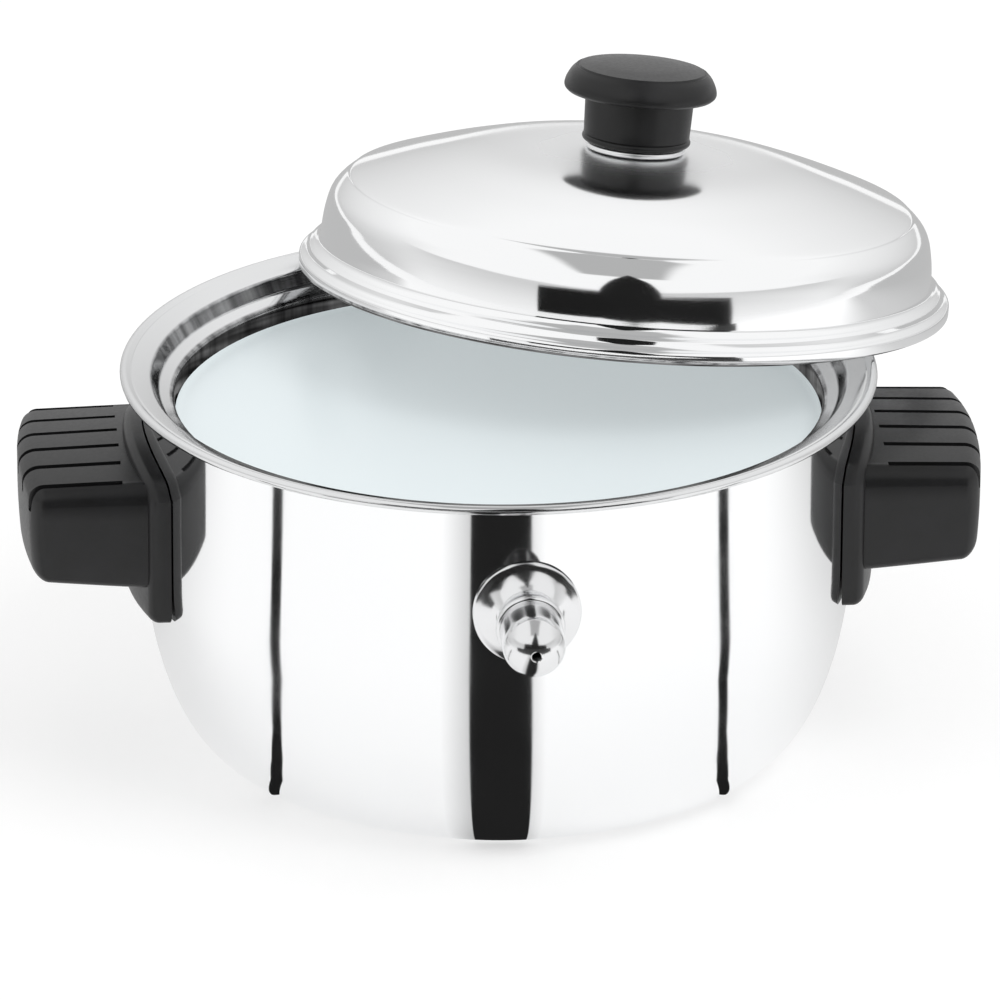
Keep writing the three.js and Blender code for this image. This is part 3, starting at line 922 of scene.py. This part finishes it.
@dataclass
class Lid:
    """The domed lid with its knob, which lies askew on the lip."""

    radius: float = 96.7
    rim: float = 3.9
    step: float = 6.2
    base: float = 9.0
    sheet: float = 0.9
    foot: float = 90.8
    wall_top: float = 22.0
    height: float = 41.6
    screw_hole: float = 2.3
    gap: float = 0.3
    collar_radius: float = 14.8
    collar_height: float = 1.8
    knob_radius: float = 22.6
    knob_stem: float = 16.2
    knob_height: float = 23.6
    knob_cap: float = 8.4
    axis: Place = (0.0866, 0.13, 0.9875)
    shift: Place = (42.46, 67.19, 113.47)
    steps: int = 144

    def pose(self) -> Matrix:
        """Where the lid stands in the row frame."""
        turn = Vector((0, 0, 1)).rotation_difference(Vector(self.axis).normalized())
        return Matrix.Translation(Vector(self.shift) * MM) @ turn.to_matrix().to_4x4()

    def shell(self) -> Piece:
        """The rolled rim, the flange, the steep wall and the dome.

        Returns:
            The piece, about Z.
        """
        crown = self.height - self.wall_top
        heights = [
            (1.0, self.base),
            (0.9987, self.base + 3.0),
            (0.9957, self.base + 6.0),
            (0.9904, self.base + 9.0),
            (0.9825, self.base + 12.0),
            (0.9707, self.wall_top + crown * 0.07),
            (0.9504, self.wall_top + crown * 0.185),
            (0.9262, self.wall_top + crown * 0.28),
            (0.8943, self.wall_top + crown * 0.367),
            (0.7, self.wall_top + crown * 0.675),
            (0.5, self.wall_top + crown * 0.905),
            (0.25, self.wall_top + crown * 0.985),
        ]
        dome = [(self.foot * share, z) for share, z in heights]
        dome.append((self.screw_hole, self.height))
        outside = smooth(dome, 7)
        inside = inner_side(outside, self.sheet)
        inside[-1] = (self.screw_hole, inside[-1][1])
        inside[0] = (self.foot - self.sheet, self.base - self.sheet * 0.7)
        r = self.radius
        ledge = [
            (self.foot + 0.4, self.base - 0.9),
            (r - 4.6, self.step + 1.2),
            (r - 3.6, self.step + 0.7),
        ]
        drop = [
            (r - 2.6, self.rim + 1.3),
            (r - 2.3, self.rim + 0.75),
            (r - 1.7, self.rim + 0.3),
        ]
        rim = smooth(ledge, 4)
        rim += arc((r - 3.3, self.step - 0.2), 0.6, 75, 15, 4)
        rim += smooth(drop, 3)
        rim += arc((r - 1.1, self.rim - 1.1), 1.1, 75, 0, 6)
        rim += arc((r - 0.8, 0.8), 0.8, 0, -180, 8)
        rim += [
            (r - 1.9, self.rim - self.sheet),
            (r - 3.3, self.rim + 0.7 - self.sheet),
            (r - 3.7, self.step + 0.2 - self.sheet),
            (r - 4.7, self.step + 1.1 - self.sheet),
        ]
        return Bench.turn("lid_shell", outside[::-1] + rim + inside, self.steps)

    def collar(self) -> Piece:
        """The bright collar between dome and knob.

        Returns:
            The piece, about Z.
        """
        foot = self.height + self.gap
        top = foot + self.collar_height
        edge = 0.7
        profile = [(self.screw_hole, foot), (self.collar_radius - edge, foot)]
        profile += arc((self.collar_radius - edge, foot + edge), edge, -90, 0, 5)
        profile += arc((self.collar_radius - edge, top - edge), edge, 0, 90, 5)
        profile += [(self.screw_hole, top)]
        return Bench.turn("knob_collar_ring", profile, 96)

    def knob(self) -> Piece:
        """The knob: a stem with a foot bead under a mushroom cap with a ring line.

        Returns:
            The piece, about Z.
        """
        foot = self.height + 2 * self.gap + self.collar_height
        neck = self.knob_height - self.knob_cap
        stem, r = self.knob_stem, self.knob_radius
        bore_top = neck - 1
        profile = [(0.0, bore_top), (self.screw_hole, bore_top)]
        profile += [(self.screw_hole, 0.0), (stem - 1.3, 0.0)]
        profile += arc((stem - 1.2, 1.1), 1.1, -90, 60, 8)
        profile += [(stem - 0.45, 2.3), (stem - 0.5, 2.7), (stem - 0.4, 5.0), (stem - 0.1, neck - 2.0)]
        profile += [(stem + 0.1, neck - 1.1), (stem + 0.6, neck - 0.6), (stem + 1.4, neck - 0.5)]
        profile += [(r - 1.7, neck - 0.5)]
        cap = [
            (r - 1.0, neck - 0.5),
            (r - 0.2, neck + 0.3),
            (r, neck + 1.4),
            (r - 0.5, neck + 3.2),
            (r - 1.7, neck + 5.4),
            (r - 3.1, neck + 6.85),
        ]
        profile += smooth(cap, 6)
        profile += [(r - 3.35, neck + 6.65), (r - 3.6, neck + 6.7)]
        top = [
            (r - 4.0, neck + 7.3),
            (r * 0.68, self.knob_height - 0.72),
            (r * 0.5, self.knob_height - 0.3),
            (r * 0.25, self.knob_height - 0.07),
            (0.0, self.knob_height),
        ]
        profile += smooth(top, 5)
        return Bench.turn("knob_moulding", [(a, z + foot) for a, z in profile], 96)

    def build(self, mirror: Finish, bakelite: Finish) -> None:
        """Builds, places and dresses the lid's pieces.

        Args:
            mirror: finish of the lid and the collar.
            bakelite: finish of the knob.
        """
        pieces = [
            (self.shell(), "lid", Slot.MIRROR, mirror),
            (self.collar(), "knob_collar", Slot.MIRROR, mirror),
            (self.knob(), "knob", Slot.BAKELITE, bakelite),
        ]
        for piece, node, slot, finish in pieces:
            Bench.stand(piece, self.pose())
            hand_in(piece, node, Body.LID, finish)


@dataclass
class Whistle:
    """The filler bell on the front wall with its screw-on whistle cap."""

    height: float = 81.6
    seat: float = 103.8
    reach: float = 8.4
    bell: float = 15.4
    neck: float = 8.2
    tube: float = 6.0
    tube_bore: float = 4.2
    tube_inside: float = 97.4
    thread: float = 7.4
    thread_pitch: float = 1.5
    thread_depth: float = 0.25
    sink: float = 3.0
    gap: float = 0.3
    gasket: float = 1.2
    cap_rim: float = 9.9
    cap_radius: float = 9.0
    cap_length: float = 22.2
    cap_wall: float = 2.3
    steam_hole: float = 1.3
    steps: int = 96

    def pose(self) -> Matrix:
        """Turns a piece made about Z so that it points to the front."""
        lift = Matrix.Translation((0, 0, self.height * MM))
        return lift @ Matrix.Rotation(math.pi / 2, 4, "X")

    @property
    def shoulder(self) -> float:
        """Reach of the shoulder that the gasket closes on."""
        return self.seat + self.reach

    def filler(self) -> Piece:
        """The bell and its threaded tube, cut to the wall.

        Returns:
            The piece, about Z.
        """
        flare = [
            (self.bell - 0.6, self.seat + 1.0),
            (self.bell * 0.84, self.seat + self.reach * 0.2),
            (self.bell * 0.69, self.seat + self.reach * 0.36),
            (self.neck + 0.6, self.seat + self.reach * 0.56),
            (self.neck, self.seat + self.reach * 0.76),
            (self.neck + 0.4, self.shoulder - 0.3),
        ]
        profile = [(self.tube_bore, self.tube_inside), (self.tube, self.tube_inside)]
        profile += [(self.tube, self.seat - self.sink), (self.bell, self.seat - self.sink)]
        profile += arc((self.bell - 0.5, self.seat + 0.4), 0.5, 0, 70, 5)
        profile += smooth(flare, 7)
        profile += [(self.neck + 0.2, self.shoulder), (self.tube, self.shoulder)]
        tip = self.shoulder + self.thread
        rounds = int(self.thread / self.thread_pitch)
        for k in range(rounds):
            foot = self.shoulder + k * self.thread_pitch
            profile += [(self.tube - self.thread_depth, foot + 0.4), (self.tube, foot + 1.1)]
        profile += [(self.tube, tip - 0.2), (self.tube - 0.3, tip), (self.tube_bore, tip)]
        piece = Bench.turn("filler_bell", profile, self.steps)
        wall = Bench.rod(self.seat, 80, 288, level=True)
        Bench.cut(wall, Bench.rod(self.tube + 0.01, 3 * self.seat, 64), "DIFFERENCE")
        Bench.cut(piece, wall, "DIFFERENCE")
        return piece

    def seal(self) -> Piece:
        """The gasket behind the cap.

        Returns:
            The piece, about Z.
        """
        foot = self.shoulder + self.gap
        half = self.gasket / 2
        outer = self.neck - 0.2 - half
        inner = self.tube + self.gap
        profile = [(inner, foot), (outer, foot)]
        profile += arc((outer, foot + half), half, -90, 90, 8)
        profile += [(inner, foot + self.gasket)]
        return Bench.turn("whistle_seal", profile, self.steps)

    def cap(self) -> Piece:
        """The cap with its rolled foot, round nose and steam hole.

        Returns:
            The piece, about Z.
        """
        foot = self.shoulder + self.gasket + 2 * self.gap
        tip = foot + self.cap_length
        nose = tip - self.cap_radius
        inner = self.tube + self.gap
        lip = math.degrees(math.asin((self.steam_hole + 0.35) / self.cap_radius))
        roll = 1.15
        profile = [(inner, foot), (self.cap_rim - 0.7, foot)]
        profile += arc((self.cap_rim - roll, foot + roll), roll, -80, 80, 12)
        profile += [(self.cap_radius - 0.15, foot + 2.45), (self.cap_radius, foot + 2.9)]
        profile += [(self.cap_radius, foot + 2.9 + k * 3.0) for k in range(1, 4)]
        profile += arc((0.0, nose), self.cap_radius, 0, 90 - lip, 22)
        profile += [
            (self.steam_hole + 0.1, tip - 0.3),
            (self.steam_hole, tip - 0.6),
            (self.steam_hole, tip - self.cap_wall),
            (inner * 0.62, tip - self.cap_wall - 1.3),
            (inner, tip - self.cap_wall - 4.6),
        ]
        return Bench.turn("whistle_cap_shell", profile, self.steps)

    def build(self, chrome: Finish, rubber: Finish) -> None:
        """Builds, places and dresses the whistle's pieces.

        Args:
            chrome: finish of the bell and the cap.
            rubber: finish of the gasket.
        """
        pieces = [
            (self.filler(), "filler_nozzle", Body.BOILER, Slot.CHROME, chrome),
            (self.seal(), "whistle_gasket", Body.GASKET, Slot.RUBBER, rubber),
            (self.cap(), "whistle_cap", Body.WHISTLE, Slot.CHROME, chrome),
        ]
        for piece, node, body, slot, finish in pieces:
            Bench.stand(piece, self.pose())
            hand_in(piece, node, body, finish)


@dataclass
class Handles:
    """The two grips, each one moulding of a grooved grip and a flange that follows the wall."""

    seat: float = 103.8
    flange_out: float = 109.3
    half: float = 34.2
    end: float = 139.99
    crown: float = 96.4
    under: float = 62.0
    lift: float = 2.9
    sink: float = 1.2
    arch: float = 215.0
    edge: float = 5.0
    foot_round: float = 3.0
    bow: float = 400.0
    toe: float = 2.4
    toe_start: float = 0.35
    root_gap: float = 1.7
    straight_rings: int = 8
    end_insets: tuple[float, ...] = (9.0, 12.0, 15.0)
    end_slit: float = 0.05
    groove_pitch: float = 12.0
    groove_width: float = 2.2
    groove_depth: float = 0.9
    flange_half: float = 36.4
    flange_under: float = 52.1
    flange_crown: float = 100.2
    flange_edge: float = 2.6
    flange_shoulder: float = 10.0
    flange_corner: float = 2.0
    flange_insets: tuple[float, ...] = (6.0, 14.0, 22.0)
    screw_reach: float = 120.0
    head_room: float = 4.7
    head_depth: float = 7.5
    drill: float = 16.0

    def grip_outline(self) -> list[Point]:
        """The grip's section across, from its foot up one side and down the other.

        Returns:
            The closed outline.
        """
        inner = self.half - self.edge
        dip = self.arch - math.sqrt(self.arch**2 - inner**2)
        side = self.crown - dip - self.edge
        bend = [
            (self.half, side - 1),
            (self.half - 0.9, side + 2.1),
            (self.half - 2.9, side + 4.6),
            (inner, side + self.edge),
        ]
        corner = smooth(bend, 5)
        tilt = math.degrees(math.asin(inner / self.arch))
        top = arc((0.0, self.crown - self.arch), self.arch, 90 - tilt, 90 + tilt, 28)[1:-1]
        low, flat = self.under + self.foot_round, self.half - self.foot_round
        foot = arc((flat, low), self.foot_round, -90, 0, 6)
        sides = [(self.half, z) for z in np.linspace(low, side - 1, 6)[1:-1]]
        right = foot + sides + corner
        base = [(y, self.under) for y in np.linspace(-flat, flat, 14)[1:-1]]
        left = [(-y, z) for y, z in reversed(right)]
        return right + top + left + base

    def grip(self) -> Piece:
        """The arched grip without its grooves.

        Returns:
            The piece.
        """
        shoulder = self.end - self.edge
        root = self.flange_out
        first = self.seat + self.root_gap
        reaches = [(x, 0.0) for x in np.linspace(first, shoulder, self.straight_rings)]
        for a in np.linspace(0, math.pi / 2, 9)[1:]:
            reaches.append((shoulder + self.edge * math.sin(a), self.edge * (1 - math.cos(a))))
        middle = (self.crown + self.under) / 2
        tall = (self.crown - self.under) / 2
        reaches += [(self.end, inset) for inset in (*self.end_insets, tall - self.end_slit)]

        def place(level: int, across: float, height: float) -> Place:
            """Rounds the end, bows it in plan and lifts the underside toward the end.

            Args:
                level: which outline the point belongs to.
                across: its place across the outline.
                height: its height on the outline.

            Returns:
                Its place on the grip.
            """
            reach, inset = reaches[level]
            y = across * (self.half - inset) / self.half
            z = middle + (height - middle) * (tall - inset) / tall
            out = max(0.0, (reach - root) / (self.end - root))
            low = (self.crown - z) / (self.crown - self.under)
            bow = y * y / self.bow + self.toe * max(0.0, low - self.toe_start) ** 2
            rooted = max(0.0, 1 - level / (self.straight_rings - 1))
            curve = rooted * (first - math.sqrt(first**2 - y**2))
            tilt = low * self.lift - (1 - low) * self.sink
            return (reach - out * out * bow - curve, y, z + out * tilt)

        return Bench.loft("grip", self.grip_outline(), len(reaches), place, 30)

    def flange(self) -> Piece:
        """The flange that follows the wall.

        Returns:
            The piece.
        """
        half, crown, foot = self.flange_half, self.flange_crown, self.flange_under
        shoulder = crown - self.flange_shoulder
        bend = [(half, shoulder), (half * 0.86, crown - 4.6), (half * 0.45, crown - 0.9)]
        top = smooth([*bend, (0.0, crown), *((-y, z) for y, z in reversed(bend))], 6)
        low, flat = foot + self.flange_corner, half - self.flange_corner
        corner = arc((flat, low), self.flange_corner, -90, 0, 5)
        sides = [(half, z) for z in np.linspace(low, shoulder, 8)[1:-1]]
        right = corner + sides
        base = [(y, foot) for y in np.linspace(-flat, flat, 16)[1:-1]]
        outline = right + top + [(-y, z) for y, z in reversed(right)] + base
        round_edge = self.flange_edge
        start = self.flange_out - round_edge
        layers = [(self.seat, inset) for inset in reversed(self.flange_insets)]
        layers += [(self.seat, 0.0), ((self.seat + start) / 2, 0.0)]
        for a in np.linspace(0, math.pi / 2, 7):
            layers.append((start + round_edge * math.sin(a), round_edge * (1 - math.cos(a))))
        layers += [(self.flange_out, inset) for inset in self.flange_insets]
        middle = (crown + foot) / 2
        tall = (crown - foot) / 2

        def place(level: int, across: float, height: float) -> Place:
            """Wraps a layer of the flange round the wall.

            Args:
                level: which layer the point belongs to.
                across: its place across the outline.
                height: its height on the outline.

            Returns:
                Its place on the flange.
            """
            radius, inset = layers[level]
            y = across * (half - inset) / half
            z = middle + (height - middle) * (tall - inset) / tall
            return (math.sqrt(radius**2 - y**2), y, z)

        return Bench.loft("flange", outline, len(layers), place, 40)

    def groove(self, across: float) -> Piece:
        """The tool that cuts one groove along the top and over the end.

        Args:
            across: the groove's distance from the middle of the grip.

        Returns:
            The tool.
        """
        drop = self.arch - math.sqrt(self.arch**2 - across**2)
        top = self.crown - drop
        end = self.end - across * across / self.bow
        start = self.flange_out + 1.5
        turn = self.edge - 0.4

        def floor(reach: float) -> float:
            """Height of the groove's floor."""
            return top - self.groove_depth - self.sink * (reach - start) / (self.end - start)

        low = floor(end) - turn * 1.35
        path = [(start, floor(start)), (end - self.groove_depth - turn, floor(end - turn))]
        deep = end - self.groove_depth
        bend = [
            path[-1],
            (deep - turn * 0.42, floor(end) - turn * 0.16),
            (deep - 0.4, floor(end) - turn * 0.6),
            (deep + 0.5, low),
        ]
        path += smooth(bend, 5)[1:]
        clear = 9.0
        path += [(end + clear, low), (end + clear, top + clear), (start, top + clear)]
        edge = across - self.groove_width / 2
        piece = Bench.trace("groove_tool", [Vector((x, edge, z)) * MM for x, z in path], closed=True)
        width = (0, self.groove_width * MM, 0)
        bpy.ops.mesh.extrude_region_move(TRANSFORM_OT_translate={"value": width})
        Bench.close(piece, 30)
        return piece

    def moulding(self) -> Piece:
        """One whole handle, on the right side.

        Returns:
            The piece.
        """
        piece = self.grip()
        Bench.cut(piece, self.flange(), "UNION")
        for step in np.arange(-2.5, 3.0):
            Bench.cut(piece, self.groove(step * self.groove_pitch), "DIFFERENCE")
        below = (self.screw_reach, 0, self.under + self.head_depth - self.drill / 2)
        Bench.cut(piece, Bench.rod(self.head_room, self.drill, 40, below), "DIFFERENCE")
        bpy.ops.object.mode_set(mode="EDIT")
        Bench.close(piece, 28)
        return piece

    def build(self, bakelite: Finish) -> None:
        """Builds and dresses both handles.

        Args:
            bakelite: their finish.
        """
        right = self.moulding()
        right.name = "grip_right"
        left = Bench.copy(right, "grip_left")
        Bench.stand(left, Matrix.Rotation(math.pi, 4, "Z"))
        hand_in(right, "handle_right", Body.BOILER, bakelite)
        hand_in(left, "handle_left", Body.BOILER, bakelite)


# Stage


@dataclass
class Studio:
    """The pale floor, the soft light, the cards that the steel mirrors, and the milk in the pan."""

    floor_size: float = 14.0
    floor_drop: float = 0.0002
    floor_glow: float = 0.55
    sky: float = 0.86
    overhead: float = 0.47
    milk_height: float = 101.0
    milk_radius: float = 94.0
    strip_turn: float = 1.0
    key_size: float = 1.2
    key_power: float = 14.0
    key_place: Place = (1.1, -0.9, 1.9)
    key_aim: Place = (0, 0, 0.08)
    azimuth: float = -4.7
    elevation: float = 22.25
    roll: float = 0.35
    distance: float = 3.0
    lens: float = 372.0
    sensor: float = 36.0
    target: Place = (-0.6, -14.8, 79.6)

    def ahead(self, turn: float = 0.0) -> Vector:
        """Level direction from the object to the camera, turned by some degrees."""
        a = math.radians(self.azimuth + turn)
        return Vector((math.sin(a), -math.cos(a), 0))

    def side(self, turn: float = 0.0) -> Vector:
        """Level direction to the right of the picture, turned by some degrees."""
        a = math.radians(self.azimuth + turn)
        return Vector((math.cos(a), math.sin(a), 0))

    def spot(self, forward: float, across: float, height: float = 0.2, turn: float = 0.0) -> Vector:
        """A place before the object, from millimetres to metres."""
        return (self.ahead(turn) * forward + self.side(turn) * across + Vector((0, 0, height))) * MM

    def floor(self) -> None:
        """A white floor that keeps the object's shadow."""
        bpy.ops.object.select_all(action="DESELECT")
        bpy.ops.mesh.primitive_plane_add(size=self.floor_size, location=(0, 0, -self.floor_drop))
        floor = bpy.context.object
        floor.name = "studio_floor"
        nodes = Nodes("pale floor")
        nodes.surface(base_color=(0.5, 0.5, 0.5, 1), roughness=1, specular_ior_level=0)
        nodes.surface(emission_color=(1, 1, 1, 1), emission_strength=self.floor_glow)
        floor.data.materials.append(nodes.material)

    def world(self) -> None:
        """A white room with grey foot and a grey patch overhead, which the steel mirrors."""
        world = bpy.data.worlds.new("white room")
        bpy.context.scene.world = world
        world.use_nodes = True
        nodes = Nodes("white room", world.node_tree)
        back = nodes.tree.nodes["Background"]
        toward = nodes.add("ShaderNodeTexCoord").outputs["Generated"]
        front = nodes.along(toward, self.ahead())
        across = nodes.along(toward, self.side())
        height = nodes.along(toward, Vector((0, 0, 1)))
        climb = nodes.join("MULTIPLY", nodes.join("ARCTAN2", height, front), 1 / math.pi)
        far_wall = [(0.0, 0.63), (0.087, 0.7), (0.174, 0.75), (0.259, 0.8)]
        far_wall += [(0.375, 0.86), (0.5, 0.92), (0.64, 1.0)]
        near_wall = [(0.0, 0.93), (0.174, 0.78), (0.305, 0.66), (0.33, 0.66), (0.345, 1.0)]
        room = nodes.blend(
            nodes.step(front, -0.25, 0.25), nodes.ramp(height, far_wall), nodes.ramp(height, near_wall)
        )
        edges = [(across, -0.24, -0.16), (across, 0.3, 0.22), (climb, 0.3, 0.325), (climb, 0.71, 0.68)]
        patch: Value = 1.0
        for value, start, end in edges:
            patch = nodes.join("MULTIPLY", nodes.step(value, start, end), patch)
        room = nodes.blend(patch, room, self.overhead)
        path = nodes.add("ShaderNodeLightPath")
        bounced, passed = path.outputs["Is Glossy Ray"], path.outputs["Is Transmission Ray"]
        mirrored = nodes.join("MAXIMUM", bounced, passed)
        lit = nodes.blend(mirrored, self.sky, room)
        nodes.link(nodes.join("MAXIMUM", lit, path.outputs["Is Camera Ray"]), back.inputs["Strength"])
        back.inputs["Color"].default_value = (1, 1, 1, 1)

    def card(
        self,
        name: str,
        corners: Sequence[Vector],
        level: float = 0.012,
        paint: Optional[Callable[[Nodes], None]] = None,
    ) -> None:
        """A dark card that only reflections show.

        Args:
            name: name of the card.
            corners: its corners in order round it.
            level: how bright the card is.
            paint: what varies over the card, if anything does.
        """
        piece = Bench.trace(name, corners, closed=True)
        bpy.ops.object.mode_set(mode="OBJECT")
        nodes = Nodes(name)
        nodes.surface(base_color=(0, 0, 0, 1), roughness=1, specular_ior_level=0)
        nodes.surface(emission_color=(level, level, level, 1), emission_strength=1)
        if paint:
            paint(nodes)
        piece.data.materials.append(nodes.material)
        piece.visible_camera = False
        piece.visible_diffuse = False
        piece.visible_shadow = False

    def front_band(self) -> None:
        """The broad strip on the floor, black in the middle and fading out at its sides."""
        near, far, narrow, wide = 80.0, 430.0, 7.2, 63.0
        spill = 2.0
        turn = self.strip_turn

        def paint(nodes: Nodes) -> None:
            """Lets the floor through beside the strip.

            Args:
                nodes: the card's nodes.
            """
            where = nodes.place()
            width = nodes.add(
                "ShaderNodeMapRange",
                from_min=near * MM,
                from_max=far * MM,
                to_min=narrow * MM,
                to_max=wide * MM,
                clamp=False,
            )
            nodes.link(nodes.along(where, self.ahead(turn)), width.inputs["Value"])
            ratio = nodes.join("DIVIDE", nodes.along(where, self.side(turn)), width.outputs["Result"])
            part = nodes.add("ShaderNodeMapRange", from_min=-spill, from_max=spill)
            nodes.link(ratio, part.inputs["Value"])
            shares = [(0.0, 0.0), (0.243, 0.36), (0.25, 1.0), (0.75, 1.0), (0.757, 0.2), (0.87, 0.0)]
            nodes.link(nodes.ramp(part.outputs["Result"], shares), nodes.shader.inputs["Alpha"])

        corners = [(near, -narrow), (near, narrow), (far, wide), (far, -wide)]
        self.card("front strip", [self.spot(f, s * spill, turn=turn) for f, s in corners], 0.014, paint)

    def floor_shade(self) -> None:
        """The grey of the floor behind the object, which darkens the steel toward its outline."""
        start, full, deep, end, wide = 65.0, -150.0, -420.0, -1600.0, 1600.0
        near_grey, far_grey = 0.66, 0.52

        def paint(nodes: Nodes) -> None:
            """Fades the grey in from the front and darkens it to the back.

            Args:
                nodes: the card's nodes.
            """
            forward = nodes.along(nodes.place(), self.ahead())
            nodes.link(nodes.step(forward, start * MM, full * MM), nodes.shader.inputs["Alpha"])
            level = nodes.blend(nodes.step(forward, full * MM, deep * MM), near_grey, far_grey)
            nodes.link(level, nodes.shader.inputs["Emission Color"])

        corners = [(start, -wide), (start, wide), (end, wide), (end, -wide)]
        self.card("floor shade", [self.spot(f, s, 0.1) for f, s in corners], paint=paint)

    def pan_shade(self) -> None:
        """The streaky dark that the milk pan's upright wall mirrors."""

        def paint(nodes: Nodes) -> None:
            """Streaks of grey."""
            streaks = nodes.between(nodes.noise(nodes.place(), 45, 2), 0.0, 0.32)
            nodes.link(streaks, nodes.shader.inputs["Emission Color"])

        ring = arc((0.0, 0.0), self.milk_radius - 0.5, 0, 352.5, 47)
        depth = self.milk_height - 1
        self.card("pan shade", [Vector((x, y, depth)) * MM for x, y in ring], paint=paint)

    def cards(self) -> None:
        """Strips and grey on the floor, a gabled screen before the lid, a low one before the whistle."""
        self.front_band()
        self.floor_shade()
        self.pan_shade()
        outer = [(140, 350), (90, 150), (73, 103), (64, 85), (57, 74), (47, 66)]
        inner = [(163, 345), (99, 148), (79, 102), (70, 83), (63, 72), (55, 66)]
        for sign, name in ((-1, "left strip"), (1, "right strip")):
            corners = [self.spot(f, sign * s, turn=self.strip_turn) for f, s in outer + inner[::-1]]
            self.card(name, corners)
        reach = 1000
        gable = [(-625, 135), (-130, 140), (90, 100), (265, 110), (855, 5)]
        gable += [(920, 430), (290, 435), (195, 2300), (-145, 480), (-655, 525)]
        self.card("front screen", [self.spot(reach, s, z) for s, z in gable])
        near = 308
        low = [(-320, 36), (320, 36), (320, 103), (-320, 103)]
        self.card("whistle screen", [self.spot(near, s, z) for s, z in low], level=0.05)

    def lamps(self) -> None:
        """One soft key lamp from the upper right."""
        lamp = bpy.data.lights.new("soft key", "AREA")
        lamp.shape = "DISK"
        lamp.size = self.key_size
        lamp.energy = self.key_power
        key = bpy.data.objects.new("soft key", lamp)
        bpy.context.collection.objects.link(key)
        key.visible_glossy = False
        key.location = self.key_place
        aim = Vector(self.key_aim) - key.location
        key.rotation_euler = aim.to_track_quat("-Z", "Y").to_euler()

    def milk(self) -> None:
        """The surface of the milk, a stage prop that climbs a little at the pan's wall."""
        z, r = self.milk_height, self.milk_radius
        profile = [(0.0, z), (r * 0.5, z), (r - 2.5, z)]
        profile += [(r - 1.0, z + 0.12), (r - 0.3, z + 0.5), (r, z + 0.9)]
        piece = Bench.turn("milk", profile, 128, 60, closed=False)
        nodes = Nodes("milk")
        nodes.surface(base_color=(0.4, 0.43, 0.44, 1), roughness=0.3)
        # painted light: the milk glows a little so the shade the lid casts on it stays light; its bluish
        # white is the milk's own colour
        nodes.surface(emission_color=(0.38, 0.42, 0.43, 1), emission_strength=1)
        piece.data.materials.append(nodes.material)
        piece.visible_glossy = False

    def camera(self) -> None:
        """A long lens at the photograph's viewing angle."""
        a, e = math.radians(self.azimuth), math.radians(self.elevation)
        toward = Vector((math.sin(a) * math.cos(e), -math.cos(a) * math.cos(e), math.sin(e)))
        data = bpy.data.cameras.new("photo camera")
        data.lens = self.lens
        data.sensor_width = self.sensor
        data.clip_end = 50
        camera = bpy.data.objects.new("photo camera", data)
        bpy.context.collection.objects.link(camera)
        camera.location = Vector(self.target) * MM + toward * self.distance
        level = (-toward).to_track_quat("-Z", "Y").to_matrix()
        roll = Matrix.Rotation(math.radians(self.roll), 3, "Z")
        camera.rotation_euler = (level @ roll).to_euler()
        bpy.context.scene.camera = camera

    def build(self) -> None:
        """Sets the stage."""
        self.floor()
        self.world()
        self.cards()
        self.lamps()
        self.milk()
        self.camera()


def hidden_hardware(zinc: Finish, satin: Finish) -> None:
    """Gives the fasteners and plates inside the object their finishes.

    Args:
        zinc: finish of brackets, washers and the nut.
        satin: finish of screws and sounding plates.
    """
    plated = ["filler_nut", "knob_washer"]
    bright = ["knob_screw", "whistle_plate_rear", "whistle_plate_front"]
    for side in ("left", "right"):
        plated += [f"handle_bracket_{side}", f"handle_washer_{side}"]
        bright += [f"handle_screw_{side}"]
    for node in plated:
        dress(node, zinc)
    for node in bright:
        dress(node, satin)


def main() -> None:
    """Builds every sub-assembly and sets the stage."""
    scene = bpy.context.scene
    scene.view_settings.view_transform = "Standard"
    lid = Lid()
    bakelite = Moulded(
        "dark bakelite", (0.007, 0.007, 0.007), (0.010, 0.010, 0.011), roughness=0.34, specular=0.38
    ).material()
    rubber = Moulded(
        "red rubber", (0.2, 0.04, 0.03), (0.26, 0.055, 0.04), roughness=0.6, specular=0.3
    ).material()
    mirror = Steel("mirror steel").material()
    lid_mirror = Steel("mirror steel of the lid", centre_haze=0.26, pose=lid.pose()).material()
    satin = Steel(
        "milk pan steel",
        tint=(0.76, 0.765, 0.77),
        roughness=0.09,
        haze=0.07,
        ring_depth=0.008,
        # painted reflection: dark streaks on the milk pan's inner wall and on the upright under its lip
        painted_reflection_bands=((92, 95.5), (98.7, 101.1)),
    ).material()
    chrome = Steel(
        "whistle chrome", tint=(0.8, 0.803, 0.81), roughness=0.13, haze=0.04, ring_depth=0.002
    ).material()
    zinc = Zinc("zinc plate").material()
    Pans().build(mirror, satin)
    lid.build(lid_mirror, bakelite)
    Whistle().build(chrome, rubber)
    Handles().build(bakelite)
    hidden_hardware(zinc, satin)
    Studio().build()


if __name__ == "__main__":
    main()
